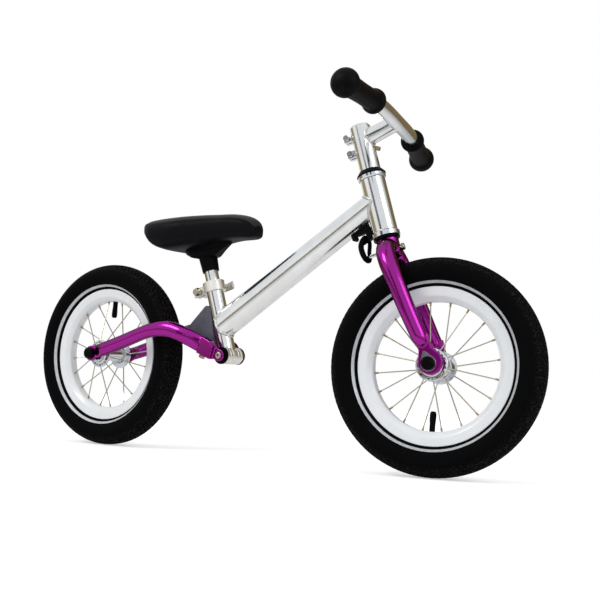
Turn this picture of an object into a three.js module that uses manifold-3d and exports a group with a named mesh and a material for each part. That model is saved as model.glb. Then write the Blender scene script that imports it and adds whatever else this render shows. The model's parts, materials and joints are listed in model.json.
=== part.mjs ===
// A child's balance bike: aluminium frame, steered unicrown fork, sprung rear arm, two spoked
// wheels with air tyres, and a saddle on a quick-release post. Millimetres, +X forward, +Y to
// the rider's left, +Z up. The origin is on the floor under the middle of the whole bike, with
// the front end turned a little to the left, as the bike rests on its own.
import * as THREE from 'three';
import { mergeVertices } from 'three/addons/utils/BufferGeometryUtils.js';
import Module from 'manifold-3d';

const wasm = await Module();
wasm.setup();

// ---------------------------------------------------------------- driving dimensions

const GAP = 0.3;                          // clearance between pieces that touch

// layout of the bike in its own centre plane (y = 0), floor at z = 0
const WHEEL_RADIUS = 151.5;               // 12 inch wheel with a fat tyre
const WHEELBASE = 616.3;
const LEAN = THREE.MathUtils.degToRad(17.95);   // head tube and seat tube lean back alike
const FORK_RAKE = 24.4;
const STEER = THREE.MathUtils.degToRad(13.55);  // rest position of the front end
const BOX_MIDDLE = new THREE.Vector3(-2.2, 9.8, 0); // from the wheelbase's middle to the origin

// wheels
const TYRE_WIDTH = 50;
const TREAD_THICKNESS = 3.6;
const RIM_RADIUS = 109.5;
const RIM_BED_RADIUS = 89;
const RIM_WIDTH = 27;
const SPOKES = 20;
const SPOKE_RADIUS = 1;
const FLANGE_RADIUS = 23;
const FLANGE_OFFSET = 24;                 // from the wheel's middle plane to each hub flange
const AXLE_RADIUS = 4;
const BEARING_RADIUS = 11;
const BEARING_WIDTH = 7;
const WHEEL_SEGMENTS = 32;
const FRONT_VALVE = THREE.MathUtils.degToRad(180.3);   // forward of straight up
const REAR_VALVE = THREE.MathUtils.degToRad(3.6);

// front end, measured along the steering axis from the point level with the front axle
const HEAD_TUBE = { bottom: 205, top: 285, radius: 18.2, bore: 15.2 };
const LOWER_CUP_BOTTOM = 197;
const UPPER_CUP_TOP = 291;
const STEERER_RADIUS = 12.7;
const STEERER_WALL = 1.7;
const STEM_BOTTOM = 299.5;
const STEM_TOP = 367;
const STEM_RADIUS = 15.4;
const STEM_BOLTS = [330, 355];
const CROWN_RADIUS = 16;
const CROWN_TOP = 193;
const CROWN_BOLT = 177;
const BLADE_RADIUS = 12.4;
const FORK_DROPOUT = { inner: 37, outer: 42, radius: 17 };  // inner and outer face, from the middle
const POST_END = -41;                     // rear end of the bolt that passes through the crown
const BAR_RADIUS = 11;
const BAR_CENTRE = new THREE.Vector3(56, 0, 355);
const GRIP_START = new THREE.Vector3(51.9, 92, 358.1);
const GRIP_END = new THREE.Vector3(40.7, 184.3, 357.3);
const KNOB_RADIUS = 20;

// frame
const SEAT_CLAMP = new THREE.Vector3(-88, 0, 263);      // middle of the seat clamp
const SEAT_TUBE_RADIUS = 13.5;
const SEAT_POST_RADIUS = 11;
const PIVOT = new THREE.Vector3(-50.6, 0, 155.6);        // hinge of the rear arm
const PIVOT_SHELL_RADIUS = 13;
const PIVOT_SHELL_HALF = 18.4;
const BUSH_RADIUS = 13.4;
const MAIN_TUBE_LOW = new THREE.Vector3(-67.9, 0, 201.1);
const MAIN_TUBE_HIGH = new THREE.Vector3(207.3, 0, 383.5);
const MAIN_TUBE_WALL = 2;

// rear arm
const ARM_RADIUS = 11;
const ARM_DROPOUT = { inner: 42, outer: 47, radius: 12.5 };
const LUG_INNER = 22.3;
const LUG_OUTER = 27.3;
const LUG_BLOCK_OUTER = 34;
const LUG_RADIUS = 9.2;

// ---------------------------------------------------------------- finishes

const finish = (color, roughness, metalness) =>
  new THREE.MeshStandardMaterial({ color, roughness, metalness });
const POLISHED_ALUMINIUM = finish(0xd8d9d6, 0.25, 1);
const CHROME = finish(0xd0d2d4, 0.12, 1);
const BRASS = finish(0xa8926a, 0.35, 1);
const STAINLESS = finish(0xb9b7b0, 0.3, 1);
const PURPLE = finish(0xa3178f, 0.28, 0.5);
const WHITE_PAINT = finish(0xf1f1ee, 0.35, 0);
const TYRE_RUBBER = finish(0x1a1a1b, 0.8, 0);
const BLACK_RUBBER = finish(0x202020, 0.7, 0);
const BLACK_PLASTIC = finish(0x161617, 0.45, 0);
const SADDLE_COVER = finish(0x1b1b1e, 0.55, 0);
const ELASTOMER_GREY = finish(0x4f5566, 0.6, 0);

// ---------------------------------------------------------------- shaping tools

const vec = (x, y, z) => new THREE.Vector3(x, y, z);
const X = vec(1, 0, 0);
const Y = vec(0, 1, 0);
const Z = vec(0, 0, 1);

/** A closed geometry as a solid that can be joined and cut. */
function solid(geometry) {
  const bare = geometry.clone();
  bare.deleteAttribute('normal');
  bare.deleteAttribute('uv');
  const merged = mergeVertices(bare, 1e-4);
  const corners = merged.index.array;
  const triangles = [];
  for (let i = 0; i < corners.length; i += 3) {
    const [a, b, c] = corners.subarray(i, i + 3);
    if (a !== b && b !== c && c !== a) triangles.push(a, b, c);
  }
  const shape = (order) => new wasm.Manifold(new wasm.Mesh({
    numProp: 3,
    vertProperties: new Float32Array(merged.attributes.position.array),
    triVerts: Uint32Array.from(order),
  }));
  const made = shape(triangles);
  return made.volume() > 0 ? made : shape(triangles.reverse());
}

/** The geometry of a solid, with flat faces. */
function geometryOf(made) {
  const { vertProperties, triVerts } = made.getMesh();
  const geometry = new THREE.BufferGeometry();
  geometry.setAttribute('position', new THREE.BufferAttribute(vertProperties, 3));
  geometry.setIndex(new THREE.BufferAttribute(triVerts, 1));
  geometry.computeVertexNormals();
  return geometry;
}

const join = (first, ...others) => others.reduce((sum, one) => sum.add(one), first);
const cut = (first, ...others) => others.reduce((rest, one) => rest.subtract(one), first);

/** A named piece in its finish. */
function piece(name, made, material) {
  const mesh = new THREE.Mesh(geometryOf(made), material.clone());
  mesh.name = name;
  return mesh;
}

/** A placed group of pieces. */
function group(position, ...members) {
  const placed = new THREE.Group();
  placed.position.copy(position);
  placed.add(...members);
  return placed;
}

/** Turns a geometry made along +Y so that it starts at `from` and runs along `direction`. */
function aim(geometry, from, direction) {
  const turn = new THREE.Quaternion().setFromUnitVectors(Y, direction.clone().normalize());
  return geometry.applyQuaternion(turn).translate(from.x, from.y, from.z);
}

/** A round bar between two points, tapered where the two radii differ. */
function rod(from, to, radius, sides = 16, endRadius = radius) {
  const along = to.clone().sub(from);
  const length = along.length();
  const bar = new THREE.CylinderGeometry(endRadius, radius, length, sides);
  return solid(aim(bar.translate(0, length / 2, 0), from, along));
}

/** A turned piece: pairs of [radius, height], closed on the axis or on the first pair. */
function turned(profile, segments = 20, from = vec(0, 0, 0), direction = Z) {
  const onAxis = profile[0][0] === 0 && profile.at(-1)[0] === 0;
  const outline = onAxis ? profile : [...profile, profile[0]];
  const points = outline.map(([radius, height]) => new THREE.Vector2(radius, height));
  return solid(aim(new THREE.LatheGeometry(points, segments), from, direction));
}

/** A plain ring, such as a tube, a washer or a bearing. */
function ring(inner, outer, low, high, segments = 20, from = vec(0, 0, 0), direction = Z) {
  const profile = [[inner, low], [outer, low], [outer, high], [inner, high]];
  return turned(profile, segments, from, direction);
}

/** A solid skinned over a row of closed sections with equal numbers of points. */
function loft(sections) {
  const count = sections[0].length;
  const faces = [];
  for (let row = 0; row + 1 < sections.length; row += 1) {
    for (let i = 0; i < count; i += 1) {
      const a = row * count + i;
      const b = row * count + (i + 1) % count;
      faces.push(a, b, b + count, a, b + count, a + count);
    }
  }
  const last = (sections.length - 1) * count;
  for (let i = 1; i + 1 < count; i += 1) {
    faces.push(0, i + 1, i, last, last + i, last + i + 1);
  }
  const geometry = new THREE.BufferGeometry().setFromPoints(sections.flat());
  geometry.setIndex(faces);
  return solid(geometry);
}

/** An oval tube along a curve; `radii(u)` gives its half-width towards `side` and across it. */
function sweep(curve, radii, side, steps, sides) {
  const sections = [];
  for (let i = 0; i <= steps; i += 1) {
    const u = i / steps;
    const centre = curve.getPointAt(u);
    const ahead = curve.getTangentAt(u);
    const across = ahead.clone().cross(side).normalize();
    const along = across.clone().cross(ahead);
    const [wide, high] = radii(u);
    sections.push(Array.from({ length: sides }, (_, k) => {
      const angle = (k / sides) * 2 * Math.PI;
      return centre.clone()
        .addScaledVector(along, wide * Math.cos(angle))
        .addScaledVector(across, high * Math.sin(angle));
    }));
  }
  return loft(sections);
}

/** A plate: an outline of [x, z] pairs, or a Shape, spread evenly to both sides of `middle`. */
function plate(outline, thickness, middle = 0, curveSegments = 8) {
  const shape = outline instanceof THREE.Shape
    ? outline
    : new THREE.Shape(outline.map(([x, z]) => new THREE.Vector2(x, z)));
  const slab = new THREE.ExtrudeGeometry(shape, {
    depth: thickness, bevelEnabled: false, curveSegments,
  });
  return solid(slab.rotateX(Math.PI / 2).translate(0, middle + thickness / 2, 0));
}

/** A box from its middle and its sizes. */
const block = (middle, sizes) =>
  solid(new THREE.BoxGeometry(...sizes).translate(middle.x, middle.y, middle.z));

const curveThrough = (...points) => new THREE.CatmullRomCurve3(points, false, 'centripetal');
const mirrored = (point) => vec(point.x, -point.y, point.z);
const blend = THREE.MathUtils.lerp;

// ---------------------------------------------------------------- wheels

/** A wheel section: half of it as [radius, offset] pairs, and its mirror image. */
function symmetrical(half) {
  const other = half.filter(([, offset]) => offset > 0).map(([radius, offset]) => [radius, -offset]);
  return [...half, ...other.reverse()];
}

const wheelPart = (half, segments) => turned(symmetrical(half), segments, undefined, Y);

/** A point in the wheel's middle plane, `angle` forward of straight up. */
const onWheel = (radius, angle, offset = 0) =>
  vec(radius * Math.sin(angle), offset, radius * Math.cos(angle));

/** Open casing: tread, round sidewalls and two beads that sit inside the rim's edges. */
function tyre(name) {
  const half = TYRE_WIDTH / 2;
  const bead = RIM_BED_RADIUS + 13.2;
  const outside = [
    [WHEEL_RADIUS, 0], [WHEEL_RADIUS - 2, 11], [WHEEL_RADIUS - 9, half - 4.7],
    [WHEEL_RADIUS - 20, half], [WHEEL_RADIUS - 31, half - 2], [RIM_RADIUS + 0.8, 11.6], [bead, 11.2],
  ];
  const inside = [
    [bead, 8.2], [RIM_RADIUS + 1, 8.5], [RIM_RADIUS + 12, half - 4.8], [RIM_RADIUS + 30.7, half - 6.5],
    [WHEEL_RADIUS - TREAD_THICKNESS, 0],
  ];
  return piece(name, wheelPart([...outside, ...inside], WHEEL_SEGMENTS), TYRE_RUBBER);
}

/** Deep rolled rim, open to the tyre, with a hole for the valve. */
function rim(name, valveAngle) {
  const half = RIM_WIDTH / 2;
  const hoop = wheelPart([
    [RIM_BED_RADIUS, 6.5], [RIM_BED_RADIUS + 8, half - 0.9], [RIM_RADIUS, half],
    [RIM_RADIUS, half - 1.5], [RIM_BED_RADIUS + 12.8, half - 1.9], [RIM_BED_RADIUS + 3.2, 5],
  ], WHEEL_SEGMENTS);
  const hole = rod(onWheel(RIM_BED_RADIUS - 3, valveAngle), onWheel(RIM_BED_RADIUS + 7, valveAngle), 4.7, 10);
  return piece(name, cut(hoop, hole), WHITE_PAINT);
}

/** Air tube that fills the tyre, with the rubber stem of its valve passing through the rim. */
function innerTube(name, valveAngle) {
  const middle = 126;
  const outline = [[143.5, 7], [130, 18], [110.5, 6.5]];
  const wall = outline.map(([radius, offset]) => [middle + (radius - middle) * 0.92, offset * 0.92]);
  const segments = 16;
  const at = (radius) => onWheel(radius, valveAngle);
  const skin = wheelPart(outline, segments);
  const stem = rod(at(76), at(112), 4.1, 10);
  const neck = rod(at(66), at(77), 2.4, 8);
  const bore = rod(at(65), at(116), 1, 6);
  return piece(name, cut(join(skin, stem, neck), wheelPart(wall, segments), bore), BLACK_RUBBER);
}

function valveCap(name, valveAngle) {
  const cap = turned(
    [[0, 0], [3.3, 0], [4.6, 1.5], [4.6, 12], [2.8, 12], [2.8, 3.5], [0, 3.5]], 10,
    onWheel(62, valveAngle), onWheel(1, valveAngle),
  );
  return piece(name, cap, BLACK_PLASTIC);
}

/** Hub shell with two flanges, and the spokes that leave them in turn for the rim. */
function spokedHub(name, valveAngle) {
  const end = FLANGE_OFFSET + 7.5;
  const flange = FLANGE_OFFSET + 1.6;
  const seat = BEARING_RADIUS + GAP;
  const shell = wheelPart([
    [13.8, FLANGE_OFFSET - 3], [FLANGE_RADIUS, FLANGE_OFFSET - 1.6], [FLANGE_RADIUS, flange],
    [13.8, flange + 0.6], [13.8, end], [seat, end],
  ], 16);
  const spokes = Array.from({ length: SPOKES }, (_, i) => {
    const angle = valveAngle + ((i + 0.5) / SPOKES) * 2 * Math.PI;
    const side = i % 2 === 0 ? 1 : -1;
    const from = onWheel(FLANGE_RADIUS - 3, angle, side * FLANGE_OFFSET);
    return rod(from, onWheel(RIM_BED_RADIUS - 1.6, angle, side * 1.5), SPOKE_RADIUS, 4);
  });
  return piece(name, join(shell, ...spokes), CHROME);
}

function bearing(name, side) {
  const near = side * (FLANGE_OFFSET + 0.5);
  const race = ring(AXLE_RADIUS + GAP, BEARING_RADIUS, near, near + side * BEARING_WIDTH, 12, undefined, Y);
  return piece(name, race, STAINLESS);
}

/** One complete wheel about its own axle, turned so that the valve is where it stands. */
function wheel(prefix, valveAngle) {
  return [
    tyre(`${prefix}_tyre`), rim(`${prefix}_rim`, valveAngle),
    innerTube(`${prefix}_inner_tube`, valveAngle), valveCap(`${prefix}_valve_cap`, valveAngle),
    spokedHub(`${prefix}_spoked_hub`, valveAngle),
    bearing(`${prefix}_hub_bearing_left`, 1), bearing(`${prefix}_hub_bearing_right`, -1),
  ];
}

/** Axle with its locknuts, and the domed nut covers outside both dropouts. */
function axleSet(prefix, dropout, coverStart) {
  const nut = FLANGE_OFFSET + 7.9;
  const face = dropout.inner - GAP;
  const end = coverStart + 6;
  const axle = wheelPart([
    [0, end], [AXLE_RADIUS, end], [AXLE_RADIUS, face], [7.5, face], [7.5, nut], [AXLE_RADIUS, nut],
  ], 14);
  const cover = (side) => turned([
    [0, coverStart + 8.3], [6.2, coverStart + 8.3], [9.2, coverStart + 5.8], [9.6, coverStart],
    [AXLE_RADIUS + GAP, coverStart], [AXLE_RADIUS + GAP, end + GAP], [0, end + GAP],
  ], 14, undefined, vec(0, side, 0));
  return [
    piece(`${prefix}_axle`, axle, STAINLESS),
    piece(`${prefix}_axle_cover_left`, cover(1), BLACK_PLASTIC),
    piece(`${prefix}_axle_cover_right`, cover(-1), BLACK_PLASTIC),
  ];
}

// ---------------------------------------------------------------- front end

/** Plate at the foot of a leg: a neck that starts inside the leg, and a round eye for the axle. */
function forkDropout(side) {
  const { inner, outer, radius } = FORK_DROPOUT;
  const neck = 9.2;
  const outline = new THREE.Shape();
  outline.moveTo(FORK_RAKE - neck, 40);
  outline.lineTo(FORK_RAKE - neck, 21);
  outline.absarc(FORK_RAKE + 2.6, 1.5, radius, Math.PI * 0.83, Math.PI * 2.17, false);
  outline.lineTo(FORK_RAKE + neck, 21);
  outline.lineTo(FORK_RAKE + neck, 40);
  outline.closePath();
  return plate(outline, outer - inner, side * (inner + outer) / 2);
}

/** One fork leg: it leaves the crown sideways, bends down past the tyre and ends closed and round. */
function forkBlade(side) {
  const foot = (FORK_DROPOUT.inner + FORK_DROPOUT.outer) / 2;
  const curve = curveThrough(
    vec(0, side * 6, 180), vec(0.2, side * 22, 175.5), vec(1.4, side * 34, 164),
    vec(3.4, side * 40, 149), vec(6.6, side * 42.2, 130), vec(13, side * 42.4, 85),
    vec(19.2, side * 40.4, 46), vec(23.4, side * foot, 24),
  );
  const radii = (u) => {
    const closing = Math.sqrt(1 - Math.max((u - 0.9) / 0.105, 0) ** 2);
    const round = blend(BLADE_RADIUS, BLADE_RADIUS - 1.6, u) * closing;
    return [round, round];
  };
  return sweep(curve, radii, X, 16, 12);
}

/** Welded fork: hollow steerer, crown, two legs and their dropouts. */
function fork() {
  const crown = turned([
    [0, 166], [14.5, 166], [17, 170.5], [17, 175.5], [CROWN_RADIUS, 180], [CROWN_RADIUS, CROWN_TOP],
    [0, CROWN_TOP],
  ]);
  const steerer = rod(vec(0, 0, 180), vec(0, 0, STEM_TOP - 1), STEERER_RADIUS, 20);
  const bore = rod(vec(0, 0, 150), vec(0, 0, STEM_TOP + 1), STEERER_RADIUS - STEERER_WALL, 20);
  const boltHole = rod(vec(-40, 0, CROWN_BOLT), vec(40, 0, CROWN_BOLT), 2.6 + GAP, 10);
  const axleHole = rod(vec(FORK_RAKE, -60, 0), vec(FORK_RAKE, 60, 0), AXLE_RADIUS + GAP, 14);
  const welded = join(crown, steerer, forkBlade(1), forkBlade(-1), forkDropout(1), forkDropout(-1));
  return piece('fork', cut(welded, bore, boltHole, axleHole), PURPLE);
}

/** Toothed-tab washer between a dropout and its axle nut: a disc with a point turned upward. */
function tabWasher(side) {
  const outline = new THREE.Shape();
  outline.absarc(FORK_RAKE, 0, 10.8, Math.PI * 0.8, Math.PI * 2.2, false);
  outline.lineTo(FORK_RAKE - 0.7, 17.6);
  outline.lineTo(FORK_RAKE - 3.1, 17.6);
  outline.closePath();
  const washer = plate(outline, 1.5, side * (FORK_DROPOUT.outer + GAP + 0.75));
  const hole = rod(vec(FORK_RAKE, -60, 0), vec(FORK_RAKE, 60, 0), AXLE_RADIUS + GAP, 14);
  return piece(`front_tab_washer_${side > 0 ? 'left' : 'right'}`, cut(washer, hole), CHROME);
}

/** Stem: a split sleeve with two pinch ears, and the extension that carries the handlebar. */
function stem() {
  const sleeve = rod(vec(0, 0, STEM_BOTTOM), vec(0, 0, STEM_TOP), STEM_RADIUS, 24);
  const ears = STEM_BOLTS.map((height) => block(vec(-18, 0, height), [15, 15, 10]));
  const bore = rod(vec(0, 0, STEM_BOTTOM - 5), vec(0, 0, STEM_TOP + 5), STEERER_RADIUS + GAP, 20);
  const slot = block(vec(-20, 0, 336), [30, 2.5, 90]);
  const holes = STEM_BOLTS.map((height) =>
    rod(vec(-20.5, -20, height), vec(-20.5, 20, height), 2.5 + GAP, 8));
  const extension = rod(vec(6, 0, 348.4), BAR_CENTRE.clone().setZ(356.6), 12.6, 18, 12);
  const barSeat = sweep(barCurve(), () => [BAR_RADIUS + GAP, BAR_RADIUS + GAP], Z, 16, 14);
  const screwHole = rod(vec(11, 0, 333.3), vec(20, 0, 327.6), 3.2 + GAP, 10);
  const welded = join(sleeve, ...ears, extension);
  return piece('stem', cut(welded, bore, slot, barSeat, screwHole, ...holes), POLISHED_ALUMINIUM);
}

/** Centre line of the handlebar: straight under the grips, swept forward between them. */
function barCurve() {
  const inward = GRIP_START.clone().sub(GRIP_END).normalize();
  const outer = GRIP_END.clone().addScaledVector(inward, -3.7);
  const shoulder = GRIP_START.clone().addScaledVector(inward, 28);
  const middle = BAR_CENTRE.clone().setY(22);
  const line = new THREE.CurvePath();
  line.add(new THREE.LineCurve3(mirrored(outer), mirrored(GRIP_START)));
  line.add(new THREE.CubicBezierCurve3(
    mirrored(GRIP_START), mirrored(shoulder), mirrored(middle), BAR_CENTRE,
  ));
  line.add(new THREE.CubicBezierCurve3(BAR_CENTRE, middle, shoulder, GRIP_START));
  line.add(new THREE.LineCurve3(GRIP_START, outer));
  return line;
}

function handlebar() {
  const tube = (radius) => sweep(barCurve(), () => [radius, radius], Z, 16, 14);
  return piece('handlebar', cut(tube(BAR_RADIUS), tube(BAR_RADIUS - 2)), POLISHED_ALUMINIUM);
}

/** Rubber grip: a flange by the rider's thumb, a waisted handle and a round safety knob. */
function grip(name, side) {
  const start = side > 0 ? GRIP_START : mirrored(GRIP_START);
  const end = side > 0 ? GRIP_END : mirrored(GRIP_END);
  const length = start.distanceTo(end);
  const knob = (angle) => [KNOB_RADIUS * Math.cos(angle), length - 1 + 17 * Math.sin(angle)];
  const bore = BAR_RADIUS + GAP;
  const profile = [
    [bore, 0], [17.6, 0], [17.6, 6], [15.2, 9], [14.2, 20], [14.6, 62],
    [16, length - 12], ...[-0.3, 0.2, 0.7, 1.2].map(knob), [0, length + 16],
    [0, length + 6], [bore, length + 6],
  ];
  return piece(name, turned(profile, 16, start, end.clone().sub(start)), BLACK_RUBBER);
}

/** Socket-head pinch bolt of the stem, entered from the right. */
function stemBolt(name, height) {
  const socket = rod(vec(-20.5, -14, height), vec(-20.5, -11, height), 2.2, 6);
  const head = rod(vec(-20.5, -13.4, height), vec(-20.5, -8.8, height), 4.25, 14);
  const shank = rod(vec(-20.5, -9.5, height), vec(-20.5, 8, height), 2.5, 8);
  return piece(name, cut(join(head, shank), socket), CHROME);
}

/** Bolt through the crown: its rear end is the post that the steering limiter's band pulls on. */
function crownBolt() {
  const shank = rod(vec(POST_END + 2, 0, CROWN_BOLT), vec(22.5, 0, CROWN_BOLT), 2.6, 10);
  const knob = rod(vec(POST_END, 0, CROWN_BOLT), vec(POST_END + 2.4, 0, CROWN_BOLT), 3.6, 12);
  const collar = rod(vec(-20, 0, CROWN_BOLT), vec(-17.4, 0, CROWN_BOLT), 4.4, 12);
  return piece('limiter_post', join(shank, knob, collar), CHROME);
}

function crownNut() {
  const nut = rod(vec(17.4, 0, CROWN_BOLT), vec(22, 0, CROWN_BOLT), 5.4, 6);
  const hole = rod(vec(17, 0, CROWN_BOLT), vec(23, 0, CROWN_BOLT), 2.6 + GAP, 10);
  return piece('limiter_post_nut', cut(nut, hole), STAINLESS);
}

/** Everything that turns with the handlebar, in the frame of the steering axis. */
function steeredEnd() {
  const wheelGroup = group(vec(FORK_RAKE, 0, 0), ...wheel('front', FRONT_VALVE + LEAN));
  const axleGroup = group(vec(FORK_RAKE, 0, 0), ...axleSet('front', FORK_DROPOUT, FORK_DROPOUT.outer + 2.1));
  const crownRace = ring(STEERER_RADIUS + GAP, 19, CROWN_TOP + GAP, LOWER_CUP_BOTTOM - GAP, 24);
  const topCover = turned([
    [STEERER_RADIUS + GAP, UPPER_CUP_TOP + GAP], [21.2, UPPER_CUP_TOP + GAP], [21.2, UPPER_CUP_TOP + 2],
    [16.4, STEM_BOTTOM - GAP], [STEERER_RADIUS + GAP, STEM_BOTTOM - GAP],
  ], 24);
  const plug = turned([
    [0, STEM_TOP - 8], [STEERER_RADIUS - STEERER_WALL - GAP, STEM_TOP - 8],
    [STEERER_RADIUS - STEERER_WALL - GAP, STEM_TOP + GAP], [STEM_RADIUS - 0.4, STEM_TOP + GAP],
    [STEM_RADIUS - 1.8, STEM_TOP + 3], [0, STEM_TOP + 3],
  ]);
  const screw = rod(vec(14.4, 0, 331.1), vec(21.6, 0, 326.6), 3.2, 10);
  return [
    wheelGroup, axleGroup, fork(), tabWasher(1), tabWasher(-1),
    piece('headset_crown_seal', crownRace, BLACK_PLASTIC),
    piece('headset_top_cover', topCover, BLACK_PLASTIC),
    stem(), stemBolt('stem_bolt_lower', STEM_BOLTS[0]), stemBolt('stem_bolt_upper', STEM_BOLTS[1]),
    piece('stem_lock_screw', screw, BRASS), piece('steerer_plug', plug, POLISHED_ALUMINIUM),
    handlebar(), grip('grip_left', 1), grip('grip_right', -1), crownBolt(), crownNut(),
  ];
}

// ---------------------------------------------------------------- frame

/** A direction in the bike's centre plane, leaning back from the vertical as the tubes do. */
const TUBE_AXIS = vec(-Math.sin(LEAN), 0, Math.cos(LEAN));
const STEERING_ORIGIN = vec(WHEELBASE / 2, 0, WHEEL_RADIUS)
  .addScaledVector(vec(Math.cos(LEAN), 0, Math.sin(LEAN)), -FORK_RAKE);
const onSteering = (height) => STEERING_ORIGIN.clone().addScaledVector(TUBE_AXIS, height);
const onSeatTube = (height) => SEAT_CLAMP.clone().addScaledVector(TUBE_AXIS, height);

const seatTubeSpace = (extra) =>
  rod(onSeatTube(-150), onSeatTube(60), SEAT_TUBE_RADIUS + extra, 24);
const headTubeSpace = (extra) =>
  rod(onSteering(150), onSteering(320), HEAD_TUBE.radius + extra, 24);

/** Outside of the main tube: a tall oval at the seat tube that turns round at the head tube. */
function mainTubeForm(extra) {
  const line = new THREE.LineCurve3(MAIN_TUBE_LOW, MAIN_TUBE_HIGH);
  const radii = (u) => [blend(15.2, 18.2, u) + extra, blend(23, 18.2, u) + extra];
  return sweep(line, radii, Y, 1, 24);
}

function mainTube() {
  const tube = cut(mainTubeForm(0), mainTubeForm(-MAIN_TUBE_WALL), seatTubeSpace(GAP), headTubeSpace(GAP));
  return piece('main_tube', tube, POLISHED_ALUMINIUM);
}

function headTube() {
  const { bottom, top, radius, bore } = HEAD_TUBE;
  const tube = ring(bore, radius, bottom, top, 24, STEERING_ORIGIN, TUBE_AXIS);
  return piece('head_tube', tube, POLISHED_ALUMINIUM);
}

/** Pressed headset cup: a skirt inside the head tube and a lip round the bearing. */
function headsetCup(name, face, outward) {
  const skirt = HEAD_TUBE.bore - GAP;
  const start = outward > 0 ? HEAD_TUBE.top + GAP : HEAD_TUBE.bottom - GAP;
  const height = Math.abs(face - start);
  const cup = turned([
    [skirt, -9], [skirt, 0], [19, 0], [20.4, 2], [20.4, height], [17.6, height], [17.6, 2.2],
    [13.6, 2.2], [13.6, -9],
  ], 20, onSteering(start), TUBE_AXIS.clone().multiplyScalar(outward));
  return piece(name, cup, CHROME);
}

function headsetBearing(name, face, outward) {
  const race = ring(STEERER_RADIUS + GAP, 17.3, 0.2, 3.4, 20, onSteering(face),
    TUBE_AXIS.clone().multiplyScalar(-outward));
  return piece(name, race, STAINLESS);
}

/** Turned pivot housing with a raised collar at both ends. */
function pivotShell() {
  const half = PIVOT_SHELL_HALF;
  const full = PIVOT_SHELL_RADIUS;
  const housing = wheelPart([
    [0, half], [full, half], [full, half - 4], [full - 1.6, half - 5.2], [full - 1.6, half - 8],
    [full, half - 9.2], [full, 0],
  ], 20).translate(PIVOT.toArray());
  const bore = rod(vec(PIVOT.x, -30, PIVOT.z), vec(PIVOT.x, 30, PIVOT.z), 8, 16);
  const made = cut(housing, bore);
  return piece('pivot_shell', made, POLISHED_ALUMINIUM);
}

/** Flanged plain bush pressed into one end of the pivot shell. */
function pivotBush(name, side) {
  const flange = PIVOT_SHELL_HALF + GAP;
  const profile = [
    [AXLE_RADIUS + GAP, 8], [8 - GAP, 8], [8 - GAP, flange], [BUSH_RADIUS, flange],
    [BUSH_RADIUS, LUG_INNER - GAP], [AXLE_RADIUS + GAP, LUG_INNER - GAP],
  ];
  return piece(name, turned(profile, 20, PIVOT, vec(0, side, 0)), BLACK_PLASTIC);
}

const LIMITER_HORN_RADIUS = 2.7;

/** A point under the main tube, `u` along it and `w` below its centre line. */
function underMainTube(u, w) {
  const along = MAIN_TUBE_HIGH.clone().sub(MAIN_TUBE_LOW).normalize();
  const below = vec(along.z, 0, -along.x);
  return vec(181.8, 0, 366.6).addScaledVector(along, u).addScaledVector(below, w);
}

/** Plastic hook under the main tube: the limiter's band hangs on its horn. */
function limiterHook() {
  const outline = (pairs) => pairs.map(([u, w]) => [underMainTube(u, w).x, underMainTube(u, w).z]);
  const base = plate(outline([[-31, 16], [0, 16], [1, 27], [-14, 27], [-24, 23.5], [-31, 23.5]]), 7);
  const heel = rod(underMainTube(-28, 25).setY(-4), underMainTube(-28, 25).setY(4), 3.5, 12);
  const neck = plate(outline([[-9, 24], [0, 24], [-1, 36], [-4, 41.5], [-9, 41.5]]), 6);
  const horn = rod(underMainTube(-20, 38.5), underMainTube(-6, 38.5), LIMITER_HORN_RADIUS, 10);
  const hook = cut(join(base, heel, neck, horn), mainTubeForm(GAP), headTubeSpace(GAP));
  return piece('limiter_hook', hook, BLACK_PLASTIC);
}

/** Rubber ring stretched from the hook's horn to the post behind the crown. */
function limiterBand() {
  const ringRadius = 6.8;
  const cord = 2.5;
  const hang = ringRadius - cord - LIMITER_HORN_RADIUS - GAP;
  const horn = underMainTube(-14, 38.5);
  const post = steeredPoint(vec(POST_END + 7, 0, CROWN_BOLT));
  const up = horn.clone().sub(post).normalize();
  const reach = horn.distanceTo(post) - 2 * hang;
  const normal = MAIN_TUBE_HIGH.clone().sub(MAIN_TUBE_LOW).projectOnPlane(up).normalize();
  const band = new THREE.TorusGeometry(ringRadius, cord, 6, 16);
  const spots = band.attributes.position;
  for (let i = 0; i < spots.count; i += 1) {
    if (spots.getY(i) < -0.1) spots.setY(i, spots.getY(i) - reach);
  }
  const top = horn.clone().addScaledVector(up, -hang);
  const placed = new THREE.Matrix4().makeBasis(up.clone().cross(normal), up, normal).setPosition(top);
  return piece('limiter_band', solid(band.applyMatrix4(placed)), BLACK_RUBBER);
}

/** A point of the turned front end in the bike's own frame. */
const steeredPoint = (local) => local.clone()
  .applyAxisAngle(Z, STEER).applyAxisAngle(Y, -LEAN).add(STEERING_ORIGIN);

// ---------------------------------------------------------------- seat and its clamp

/** Seat tube, slotted at the back under the clamp and mitred on to the pivot shell. */
function seatTube() {
  const outer = rod(vec(0, 0, -110), vec(0, 0, 5), SEAT_TUBE_RADIUS, 24);
  const bore = rod(vec(0, 0, -115), vec(0, 0, 10), SEAT_POST_RADIUS + 0.5, 20);
  const pivot = PIVOT.clone().sub(SEAT_CLAMP).applyAxisAngle(Y, LEAN);
  const shell = rod(pivot.clone().setY(-30), pivot.clone().setY(30), PIVOT_SHELL_RADIUS + GAP, 24);
  const slot = block(vec(-14, 0, -8), [10, 3, 30]);
  return piece('seat_tube', cut(outer, bore, shell, slot), POLISHED_ALUMINIUM);
}

const CLAMP_BOLT_X = -27;

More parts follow.
